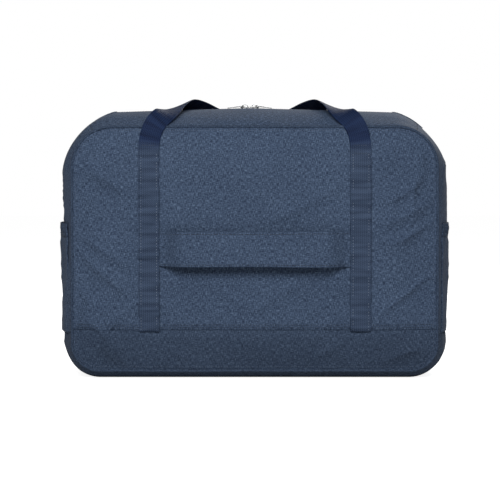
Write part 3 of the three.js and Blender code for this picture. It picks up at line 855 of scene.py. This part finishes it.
FRONT_FOLD = 98.0  # the middle of the front handle's fold, out from the bag's middle
FOLD_RADIUS = 6.7
ARM_X = 118  # the webbing is in the fold's plane beyond this
front_loop = [
    (-STRAP_X, 104.9, 291),
    (-124, 108, 268),
    (-118, 111, 232),
    (-98, 113, 190),
    (-62, 115, 161),
    (0, 116, 148),
]


def front_handle():
    """The free loop: off the left strap, over a fold, down and back up to the right strap."""
    low = strap_route(1, -STRAP_X, SEWN_TOP, STRAP_TOP - 2)
    turns = np.linspace(math.pi, 0, 12)[1:-1]
    out, up = FRONT_FOLD + FOLD_RADIUS * np.cos(turns), STRAP_TOP + FOLD_RADIUS * np.sin(turns)
    left = np.concatenate([low, stack(-STRAP_X, out, up)])
    hang = curve_points(mirrored(front_loop), 2.5)
    line = resample(smooth_line(np.concatenate([left, hang, left[::-1] * (-1, 1, 1)]), 4), 2.2)
    # the outer side of the webbing turns with the fold
    x = line[:, :1]
    inward = np.array([[1.0, 0, 0]]) * np.where(x < 0, -1, 1)
    turned = np.cross(np.gradient(line, axis=0), inward)
    facing = unit(np.where(np.abs(x) > ARM_X, turned, [0, 1, 0.05]))
    obj = ribbon("front_handle_webbing", line, smooth_line(facing, 6))
    declare_webbing(obj, line, "hung")
    # the free loop takes the darker tones, painted shade
    obj.data.materials.append(SHADED_WEBBING)
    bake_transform(obj)
    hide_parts("handle_front_loop")


front_handle()


def front_strap(x, word, seed):
    route = smooth_line(strap_route(1, x, STRAP_LOW, SEWN_TOP + 2), 4)
    pucker = strap_pucker(seed, SEWN_TOP - STRAP_LOW)
    strap = ribbon(f"front_strap_{word}", route, frontward(route), pucker)
    declare_webbing(strap, route, "stretched", rests_on=["front_panel"])
    # the sewn strap takes the paler tones, painted light
    finish_piece(strap, LIT_SEWN_WEBBING, "webbing", nodes=[f"strap_front_{word}"])


front_strap(-STRAP_X, "left", 95)
front_strap(STRAP_X, "right", 96)

# ---------- luggage sleeve

sleeve_low, sleeve_high = box_mm("luggage_sleeve")
SLEEVE_END = STRAP_X - WEB_WIDTH / 2 + 0.4  # the ends go under the straps
SLEEVE_FLAT = 82.0  # half the width that stands fully out
SLEEVE_OUT = -sleeve_low[1]
HEM = 9.0  # depth of a turned hem


def hem_step(distance, depth=0.45):
    """A turned hem: the cloth is double for HEM from its folded edge."""
    return depth * (1 - smoothstep(HEM - 0.8, HEM + 0.8, distance))


def sleeve():
    x, v = grid(np.linspace(-SLEEVE_END, SLEEVE_END, 150)[None, :], np.linspace(0, 1, 34)[:, None])
    bow = 0.9 * noise(x / 70, 0, 101) + 0.7
    z = sleeve_low[2] + bow * 0.5 + v * (sleeve_high[2] - sleeve_low[2] - bow)
    fall = np.clip((SLEEVE_END - np.abs(x)) / (SLEEVE_END - SLEEVE_FLAT), 0, 1)
    rise = 0.5 - 0.5 * np.cos(math.pi * fall)
    root = face_out(-1, x, z) + 1.5
    middle = SLEEVE_OUT - 0.6 + 0.9 * noise(x / 46, z / 30, 102) - 0.8 * ((v - 0.5) * 2) ** 2
    edge = np.minimum(v, 1 - v) * (sleeve_high[2] - sleeve_low[2])
    out = root + (middle - root) * rise + hem_step(edge)
    out += 0.3 * np.sin(math.pi * fall) * noise(z / 6, x / 30, 103)
    out += 0.22 * noise(x / 7, 0 * z, 104) * np.exp(-np.abs(edge - 3) / 3)
    points = stack(x, -out, z)
    lengths = along_line(points[17, :, :2])  # along its middle row
    obj = cloth_sheet("sleeve_cloth", points, stack(lengths[None, :], z))
    finish_piece(obj, NAVY, "navy_cloth", nodes=["luggage_sleeve"])
    for name, row in (("low", 2), ("high", -3)):
        line = points[row]
        stitches(f"sleeve_stitches_{name}", line, -frontward(line), DARK_THREAD, radius=0.36)


sleeve()

# ---------- side pockets

pocket_low, pocket_high = box_mm("side_pocket_right")
POCKET_HALF = pocket_high[1]
HEM_TOP = box_mm("pocket_hem_right")[1][2]
BAND_ROWS = 9  # rows of the pocket's cloth that its elastic covers


def side_pocket(sign, word):
    """Loose cloth on the side gusset, drawn in along its top by an elastic."""
    stations = (SIDE_START + np.linspace(pocket_low[2], HEM_TOP, 62) - lz)[:, None]
    stations, y = grid(stations, np.linspace(-POCKET_HALF, POCKET_HALF, 74)[None, :])
    points, normals = gusset(stations, y)
    height = (stations - stations[0, 0]) / (stations[-1, 0] - stations[0, 0])
    away = POCKET_HALF - np.abs(y)
    side_in = smoothstep(0, 16, away)
    seed = 110 if sign > 0 else 120
    lift = 1.3 + side_in * (0.3 + 0.9 * height**2)
    gather = smoothstep(0.35, 1.0, height) * side_in
    lift += gather * 1.15 * noise(y / 8.5 + 0.5 * noise(y / 20, height * 4, seed), height * 1.3, seed + 1)
    lift += side_in * 0.9 * noise(y / 36, height * 3, seed + 2)
    lift += 0.5 * np.exp(-away / 6) * noise(stations / 8, 0 * y, seed + 3) * smoothstep(0, 3, away)
    points = points + normals * lift[..., None]
    points[..., 0] *= sign
    uvs = stack(y, stations)
    obj = cloth_sheet(f"{word}_pocket_cloth", points[:-4], uvs[:-4], flip=sign < 0)
    finish_piece(obj, NAVY, "navy_cloth", nodes=[f"side_pocket_{word}"])
    # the elastic is a thick band with close cross folds
    band_uvs, out = uvs[-BAND_ROWS:], normals[-BAND_ROWS:] * (sign, 1, 1)
    across = np.linspace(-1, 1, BAND_ROWS)[:, None]
    folds = noise(y[-BAND_ROWS:] / 2.6, across * 0.6, seed + 4)
    swell = 0.45 * (1 - across**2) + 0.3 * folds * (1 - across**4)
    band = points[-BAND_ROWS:] + out * (swell + 0.25)[..., None]
    hem = cloth_sheet(f"{word}_pocket_elastic", band, band_uvs, thickness=1.5, flip=sign < 0)
    declare_sheet(hem, band_uvs, "gathered")
    finish_piece(hem, PIPED, "elastic_hem", nodes=[f"pocket_hem_{word}"])
    for name, k in (("low", 2), ("high", 6)):
        row = band[k, 2:-2], out[k, 2:-2]
        stitches(f"{word}_pocket_stitches_{name}", *row, THREAD, slot="elastic_hem", pitch=2.8)
    for name, column in (("rear", 2), ("front", -3)):
        line = points[: 1 - BAND_ROWS, column]
        stitches(f"{word}_pocket_edge_{name}", line, np.tile([sign, 0.0, 0], (len(line), 1)), THREAD)


side_pocket(1, "right")
side_pocket(-1, "left")

# ---------- zipper parts

TOOTH_PITCH = 1.5  # from one loop of a coil to the next


def coil_teeth(name, centres, axes, sign, nodes):
    """One half of a nylon coil: a row of rounded loops that lean into the other half."""
    along, across, up = axes
    rings, sides = 7, 8
    shares = np.linspace(0, 1, rings)[:, None, None]
    angles = round_angles(sides)[None, :, None]
    swell = 0.62 * np.sqrt(np.maximum(1 - (2 * shares - 1) ** 6, 0.02))
    middle = across * sign * (2.75 - 2.48 * shares) + up * 0.42 * np.sin(math.pi * shares)
    tooth = middle + (along * np.cos(angles) * 0.85 + up * np.sin(angles)) * swell
    vertices, faces = [], []
    for centre in centres:
        faces += ring_faces(rings, sides, len(vertices)) + end_faces(rings, sides, len(vertices))
        vertices += list((centre + tooth).reshape(-1, 3))
    finish_piece(face_outwards(new_object(name, vertices, faces)), COIL, "zipper_coil", nodes=nodes)


def tooth_places(half, sign):
    """Places of the teeth along a coil; the two halves stand half a pitch apart."""
    return np.arange(1 - half, half - 1, TOOTH_PITCH) + (TOOTH_PITCH / 2 if sign > 0 else 0)


def zipper_tape(name, points, uvs, flip, node):
    obj = cloth_sheet(name, points, uvs, thickness=0.35, flip=flip)
    return finish_piece(obj, TAPE, "zipper_tape", nodes=[node])


def crest_height(x):
    return HIGH + CREST - CREST_SLOPE * np.abs(x - MEET_X)


COIL_DROP = 0.4  # the coil's middle is this far under the crest


def main_zipper():
    for sign, word in SIDES:
        starts = tooth_places(ZIP_HALF, sign)
        centres = stack(starts, 0, crest_height(starts) - COIL_DROP - 0.2)
        coil_teeth(f"{word}_coil", centres, np.eye(3), sign, [f"zipper_coil_{word}"])
        y = np.linspace(0.25, TAPE_OUT - 1, 9)[:, None] * sign
        x, y = grid(np.arange(-ZIP_HALF, ZIP_HALF, 4.0)[None, :], y)
        z = crest_height(x) - 1.25 - 0.25 * smoothstep(4, 9, np.abs(y))
        z += 0.12 * noise(x / 14, y / 6, 131)
        uvs = stack(y, x)
        obj = zipper_tape(f"{word}_tape", stack(x, y, z), uvs, sign < 0, f"zipper_tape_{word}")
        declare_sheet(obj, uvs, "stretched")
        stations = np.linspace(LENGTH / 2 - ZIP_HALF + 2, LENGTH / 2 + ZIP_HALF - 2, 150)
        for name, inset in (("near", 2.0), ("far", 6.5)):
            stitches(f"{word}_zip_stitches_{name}", *gusset(stations, sign * (LAP_Y + inset)), THREAD)


main_zipper()


def zipper_tab(sign, word):
    """A folded piece of cloth over the end of the zipper."""
    middle = LENGTH / 2
    near, far = middle - sign * (ZIP_HALF + 0.3), middle - sign * (TOP_END - 2)
    half = TAPE_OUT - 1
    stations, y = grid(np.linspace(near, far, 16)[:, None], np.linspace(-half, half, 15)[None, :])
    points, normals = gusset(stations, y)
    edge = np.minimum(np.abs(stations - near), half - np.abs(y))
    lift = 1.15 - 0.35 * np.exp(-edge / 0.8) + 0.12 * noise(stations / 9, y / 7, 141)
    points = points + normals * lift[..., None]
    uvs = stack(y, stations)
    obj = cloth_sheet(f"{word}_zip_tab", points, uvs, flip=sign > 0)
    declare_sheet(obj, uvs, "folded")
    finish_piece(obj, DARK, "dark_cloth", nodes=[f"zipper_tab_{word}"])
    for name, row in (("near", 2), ("far", 4)):
        stitches(f"{word}_tab_stitches_{name}", points[row], normals[row], THREAD, slot="dark_cloth")


zipper_tab(1, "right")
zipper_tab(-1, "left")


def solid_plate(outline_points, low, high, holes=()):
    """A closed plate from an outline in x and y, with holes, from z low to z high."""
    mesh = bmesh.new()
    edges = []
    for loop in (outline_points, *holes):
        corners = [mesh.verts.new((x, y, low)) for x, y in loop]
        edges += [mesh.edges.new(pair) for pair in zip(corners, corners[1:] + corners[:1])]
    bmesh.ops.triangle_fill(mesh, edges=edges, use_beauty=True)
    grown = bmesh.ops.extrude_face_region(mesh, geom=mesh.faces[:])
    moved = [v for v in grown["geom"] if isinstance(v, bmesh.types.BMVert)]
    bmesh.ops.translate(mesh, verts=moved, vec=(0, 0, high - low))
    bmesh.ops.recalc_face_normals(mesh, faces=mesh.faces)
    return mesh


def arc(cx0, cy0, radius, start, end, count):
    turns = np.radians(np.linspace(start, end, count))
    return [(cx0 + radius * math.cos(t), cy0 + radius * math.sin(t)) for t in turns]


BEVEL = 0.22  # rounding of every metal edge


def metal_object(name, meshes, matrix, body, nodes):
    """Joins bevelled plates into one nickel piece, placed by matrix."""
    joined = bmesh.new()
    for k, mesh in enumerate(meshes):
        data = bpy.data.meshes.new(f"{name}_{k}")
        mesh.to_mesh(data)
        mesh.free()
        part = bpy.data.objects.new(f"{name}_{k}", data)
        bpy.context.scene.collection.objects.link(part)
        modifier = part.modifiers.new("bevel", "BEVEL")
        modifier.width = BEVEL
        modifier.segments = 3
        modifier.limit_method = "ANGLE"
        modifier.angle_limit = math.radians(40)
        data = bake_modifiers(part).data
        joined.from_mesh(data)
        bpy.data.objects.remove(part)
        bpy.data.meshes.remove(data)
    data = bpy.data.meshes.new(name)
    joined.to_mesh(data)
    joined.free()
    data.transform(matrix)
    data.transform(Matrix.Scale(MM, 4))
    data.polygons.foreach_set("use_smooth", [True] * len(data.polygons))
    data.set_sharp_from_angle(angle=math.radians(35))
    obj = bpy.data.objects.new(name, data)
    bpy.context.scene.collection.objects.link(obj)
    finish_piece(obj, NICKEL, "nickel", body=body, nodes=nodes)


SLIDER_HALF = 5.5  # half a slider's length
SLIDER_WIDE = 3.5  # half its width
PLATE_IN = 1.3  # from its middle to the inner side of each plate
PULL_X, PULL_Z = 1.2, 3.3  # pivot of the pull in the slider's own axes


def plate_outline():
    """A slider plate: round shoulders at the nose, narrow waist, square tail."""
    half = [(SLIDER_HALF - 0.6, 1.75), (SLIDER_HALF, 1.2)]
    upper = [(-1.2, SLIDER_WIDE), (1.2, 2.75), (3.2, 2.05), *half]
    nose = arc(-SLIDER_HALF + 2.2, SLIDER_WIDE - 2.2, 2.2, 180, 90, 6)
    top = nose + upper
    return top + [(x, -y) for x, y in reversed(top)]


def bar(points, width, height):
    """A rounded bar along points in the x-z plane."""
    mesh = bmesh.new()
    rows = []
    points = np.asarray(points, float)
    sides = 10
    for (x, z), (tx, tz) in zip(points, unit(np.gradient(points, axis=0))):
        row = []
        for angle in round_angles(sides):
            a, b = math.cos(angle) * width / 2, math.sin(angle) * height / 2
            row.append(mesh.verts.new((x - tz * b, a, z + tx * b)))
        rows.append(row)
    for first, second in zip(rows, rows[1:]):
        for k in range(sides):
            m = (k + 1) % sides
            mesh.faces.new((first[k], first[m], second[m], second[k]))
    mesh.faces.new(rows[0])
    mesh.faces.new(list(reversed(rows[-1])))
    bmesh.ops.recalc_face_normals(mesh, faces=mesh.faces)
    return mesh


def slider_meshes():
    """Two plates joined by a thin post, with side flanges and the bridge that carries the pull."""
    plates = [solid_plate(plate_outline(), low, low + 1) for low in (PLATE_IN, -PLATE_IN - 1)]
    post = [(2.4, 0.14), (2.4, -0.14), (4.6, -0.14), (4.6, 0.14)]
    parts = [*plates, solid_plate(post, -PLATE_IN - 0.3, PLATE_IN + 0.3)]
    for sign in (-1, 1):
        inner, outer = 2.95 * sign, SLIDER_WIDE * sign
        flange = [(-3.0, inner), (-1.2, inner), (-1.2, outer), (-3.0, outer)]
        parts.append(solid_plate(flange, PLATE_IN - 0.55, PLATE_IN + 0.3))
    foot = PLATE_IN + 0.5
    arch = [(-3.1, foot), (-3.0, 3.6), (-2.2, 4.75), (0.2, 5.05), (2.3, 4.8), (3.05, 3.7), (3.15, foot)]
    return [*parts, bar(resample(np.array(arch), 0.45), 1.5, 0.85)]


def pull_meshes():
    """A long teardrop pull with a window at the bar and a small eye at its tip."""
    length, half = 20.4, 3.7
    tip = arc(length - 3.1, 0, 2.6, 75, -75, 9)
    side = [(0.2, half - 0.5), (1.0, half), (6.2, half), (9, half * 0.72), (12.5, 1.75), (15.5, 2.0)]
    shape = [(-0.5, half - 1.2), *side, *tip, *[(x, -y) for x, y in reversed(side)], (-0.5, -half + 1.2)]
    window = arc(4.3, 0.9, 1.0, 0, 90, 4) + arc(1.3, 0.9, 1.0, 90, 180, 4)
    window += arc(1.3, -0.9, 1.0, 180, 270, 4) + arc(4.3, -0.9, 1.0, 270, 360, 4)
    eye = arc(length - 3.1, 0, 1.1, 0, 330, 12)
    plate = solid_plate(shape, -0.5, 0.5, holes=(window, eye))
    for vertex in plate.verts:
        vertex.co.z -= 0.09 * max(vertex.co.x, 0)  # the tip hangs down to the zipper
    return [plate]


def slider_frame(direction):
    """The slider's own axes: +X away from its nose, +Z out of the bag."""
    slope = math.atan(CREST_SLOPE)
    away = Vector((direction * math.cos(slope), 0, -math.sin(slope)))
    side = Vector((0, direction, 0))
    up = away.cross(side)
    x = MEET_X + direction * (SLIDER_HALF + 0.35)
    origin = Vector((x, 0, float(crest_height(x)) - COIL_DROP))
    return Matrix.Translation(origin) @ Matrix((away, side, up)).transposed().to_4x4()


def pouch_slider_frame():
    low, high = box_mm("front_pocket_slider")
    origin = Vector(((low[0] + high[0]) / 2, low[1] + PLATE_IN + 1, (low[2] + high[2]) / 2))
    axes = Matrix(((1, 0, 0), (0, 0, -1), (0, 1, 0))).transposed()
    return Matrix.Translation(origin) @ axes.to_4x4()


PULL_PLACE = Matrix.Translation((PULL_X, 0, PULL_Z))
for word, place, slider_node, pull_node in (
    ("right", slider_frame(1), "slider_right", "pull_right"),
    ("left", slider_frame(-1), "slider_left", "pull_left"),
    ("pouch", pouch_slider_frame(), "front_pocket_slider", "front_pocket_pull"),
):
    metal_object(f"{word}_slider_metal", slider_meshes(), place, f"{word}_slider", [slider_node])
    metal_object(f"{word}_pull_metal", pull_meshes(), place @ PULL_PLACE, f"{word}_pull", [pull_node])

# ---------- front pouch pocket

pouch_low, pouch_high = box_mm("front_pocket_panel")
POUCH_HALF = pouch_high[0]
zip_low, zip_high = box_mm("front_pocket_coil_lower")
POUCH_ZIP_HALF = zip_high[0]
POUCH_ZIP_OUT = (zip_low[1] + zip_high[1]) / 2
POUCH_ZIP_Z = (zip_low[2] + box_mm("front_pocket_coil_upper")[1][2]) / 2
COIL_CLEAR = 4.6  # from the pouch zipper's middle to the cloth's folded edges
POUCH_TOP = POUCH_ZIP_Z - COIL_CLEAR


def pouch_surface(x, z):
    """How far out the pouch's cloth is: flat to the face at its seams, level with the zipper on top."""
    away = np.minimum(POUCH_HALF - np.abs(x), z - pouch_low[2])
    pillow = smoothstep(0, 30, away)
    level = smoothstep(POUCH_TOP - 34, POUCH_TOP - 2, z) * smoothstep(0, 14, POUCH_HALF - np.abs(x))
    base = face_out(1, x, z) + 0.4
    out = base + 1.3 + 2.2 * pillow + pillow * 0.9 * noise(x / 40, z / 32, 151)
    out += 0.45 * np.exp(-away / 6) * noise(x / 8, z / 8, 152) * smoothstep(0, 3, away)
    out = out + (POUCH_ZIP_OUT + 0.9 - out) * level
    return out


def pouch():
    across = np.linspace(-POUCH_HALF, POUCH_HALF, 110)[None, :]
    x, z = grid(across, np.linspace(pouch_low[2], POUCH_TOP, 74)[:, None])
    out = pouch_surface(x, z) + hem_step(POUCH_TOP - z, 0.25)
    points = stack(x, out, z)
    obj = cloth_sheet("pouch_cloth", points, stack(x, z), flip=True)
    finish_piece(obj, NAVY, "navy_cloth", nodes=["front_pocket_panel"])
    for name, inset in (("outer", 2.4), ("inner", 6.6)):
        side, base = POUCH_HALF - inset, pouch_low[2] + inset
        down = np.linspace(POUCH_TOP - 2, base, 60)
        route_x = np.concatenate([0 * down - side, np.linspace(-side, side, 90), 0 * down + side])
        route_z = np.concatenate([down, np.full(90, base), down[::-1]])
        line = stack(route_x, pouch_surface(route_x, route_z), route_z)
        stitches(f"pouch_stitches_{name}", line, frontward(line), THREAD)
    edge = np.linspace(-POUCH_HALF + 4, POUCH_HALF - 4, 120)
    height = POUCH_TOP - 2.2
    line = stack(edge, pouch_surface(edge, height) + 0.25, height)
    stitches("pouch_stitches_zip", line, frontward(line), THREAD)
    # the welt above the zipper turns the face's cloth out to the tape
    x, v = grid(across, np.linspace(0, 1, 16)[:, None])
    z = POUCH_ZIP_Z + COIL_CLEAR + 13 * v
    ends = smoothstep(0, 8, POUCH_HALF - np.abs(x))
    face = face_out(1, x, z) + 0.5
    out = face + (POUCH_ZIP_OUT + 1.0 - face) * (1 - smoothstep(0.25, 1, v)) * ends
    out += 0.3 * noise(x / 9, v * 2, 153) * v
    points, uvs = stack(x, out, z), stack(x, z)
    welt = cloth_sheet("pouch_welt_cloth", points, uvs, flip=True)
    declare_sheet(welt, uvs, "stretched")
    finish_piece(welt, NAVY, "navy_cloth")
    line = points[3, 3:-3]
    stitches("welt_stitches", line, frontward(line), THREAD)


pouch()


def pouch_zipper():
    for sign, word in ((-1, "lower"), (1, "upper")):
        starts = tooth_places(POUCH_ZIP_HALF, sign)
        centres = stack(starts, POUCH_ZIP_OUT - 0.2, POUCH_ZIP_Z)
        axes = np.eye(3)[[0, 2, 1]]
        coil_teeth(f"pouch_coil_{word}", centres, axes, sign, [f"front_pocket_coil_{word}"])
        x = np.arange(-POUCH_ZIP_HALF - 8, POUCH_ZIP_HALF + 8.1, 4.0)[None, :]
        x, z = grid(x, POUCH_ZIP_Z + sign * np.linspace(0.25, 9, 8)[:, None])
        points = stack(x, POUCH_ZIP_OUT - 0.95, z)
        node = f"front_pocket_tape_{word}"
        zipper_tape(f"pouch_tape_{word}", points, stack(z, x), sign > 0, node)


pouch_zipper()

# ---------- inside: bound seam allowances


def binding(word):
    low, high = box_mm(f"seam_binding_{word}")
    stations = np.arange(0, LENGTH, 4.0)
    x, z, nx, nz = outline(stations)
    inset = HALF - high[0] + 3
    centres = stack(x - nx * inset, (low[1] + high[1]) / 2, z - nz * inset)
    out = stack(nx, 0, nz) * 3
    depth = stack(0 * nx, 0.55, 0)
    obj = tube(f"{word}_binding_tape", centres, out, depth, 1 + 0 * x, sides=10)
    finish_piece(obj, TAPE, "binding", nodes=[f"seam_binding_{word}"])


binding("rear")
binding("front")

# ---------- light rows of stitches on the straps

ROW = WEB_WIDTH / 2 - 3.3  # from a strap's middle to its rows of stitches


def strap_stitches(side, x, word):
    """Pale rows up both edges of a sewn strap, and darker rows across it."""
    route = smooth_line(strap_route(side, x, STRAP_LOW, SEWN_TOP + 2), 4)
    route = route + np.array([0, side * (WEB / 2 + 0.15), 0])
    for name, offset in (("in", -ROW), ("out", ROW)):
        line = route[route[:, 2] < SEWN_TOP - 9] + np.array([offset, 0, 0])
        look = {"slot": "webbing", "pitch": 3.4, "length": 1.7, "radius": 0.34}
        stitches(f"{word}_{name}", line, side * frontward(line), PALE_THREAD, **look)
    for name, height in (("top", SEWN_TOP - 0.5), ("top_low", SEWN_TOP - 10), ("base", STRAP_LOW + 3)):
        middle = np.interp(height, route[:, 2], route[:, 1])
        line = stack(x + np.linspace(-ROW, ROW, 12), middle, height)
        look = {"slot": "webbing", "pitch": 2.6, "length": 1.9}
        stitches(f"{word}_{name}", line, side * frontward(line), THREAD, **look)


for side, face in SIDES:
    for x, hand in ((-STRAP_X, "left"), (STRAP_X, "right")):
        strap_stitches(side, x, f"{face}_strap_stitches_{hand}")

# ---------- floor, light and world


FILL = 0.15  # strength of the world's even light


def stage():
    corners = [(-9000, -9000), (9000, -9000), (9000, 9000), (-9000, 9000)]
    floor = new_object("floor", [(x, y, -0.3) for x, y in corners], [(0, 1, 2, 3)])
    n = Nodes("floor")
    n.set(Base_Color=(0.7, 0.7, 0.7, 1), Roughness=0.8, Emission_Color=(1, 1, 1, 1))
    # the camera sees the floor nearly white, as in a studio sweep
    rays = n.node("ShaderNodeLightPath")
    n.link(n.math("MULTIPLY", rays.outputs["Is Camera Ray"], 0.88), "Emission Strength")
    floor.data.materials.append(n.material)
    world = bpy.data.worlds.new("studio")
    bpy.context.scene.world = world
    world.use_nodes = True
    nodes, links = world.node_tree.nodes, world.node_tree.links
    background = nodes["Background"]
    background.inputs["Strength"].default_value = FILL
    # the camera sees a white wall, which lights the bag less than it looks
    wall = nodes.new("ShaderNodeBackground")
    for shader in (background, wall):
        shader.inputs["Color"].default_value = (1, 1, 1, 1)
    choose = nodes.new("ShaderNodeMixShader")
    rays = nodes.new("ShaderNodeLightPath")
    sources = rays.outputs["Is Camera Ray"], background.outputs[0], wall.outputs[0]
    for source, socket in zip(sources, choose.inputs):
        links.new(source, socket)
    links.new(choose.outputs[0], nodes["World Output"].inputs["Surface"])
    bpy.context.scene.view_settings.view_transform = "Standard"


def area_light(name, place, target, size, power):
    data = bpy.data.lights.new(name, "AREA")
    data.shape = "RECTANGLE"
    data.size, data.size_y = size
    data.energy = power
    light = bpy.data.objects.new(name, data)
    bpy.context.scene.collection.objects.link(light)
    light.location = place
    light.rotation_euler = (Vector(target) - Vector(place)).to_track_quat("-Z", "Y").to_euler()


stage()
area_light("key", (-0.2, -2.25, 1.45), (0, 0, 0.18), (1.9, 1.1), 61)
area_light("back", (0.7, 2.2, 1.6), (0, 0, 0.2), (1.2, 1.0), 36)
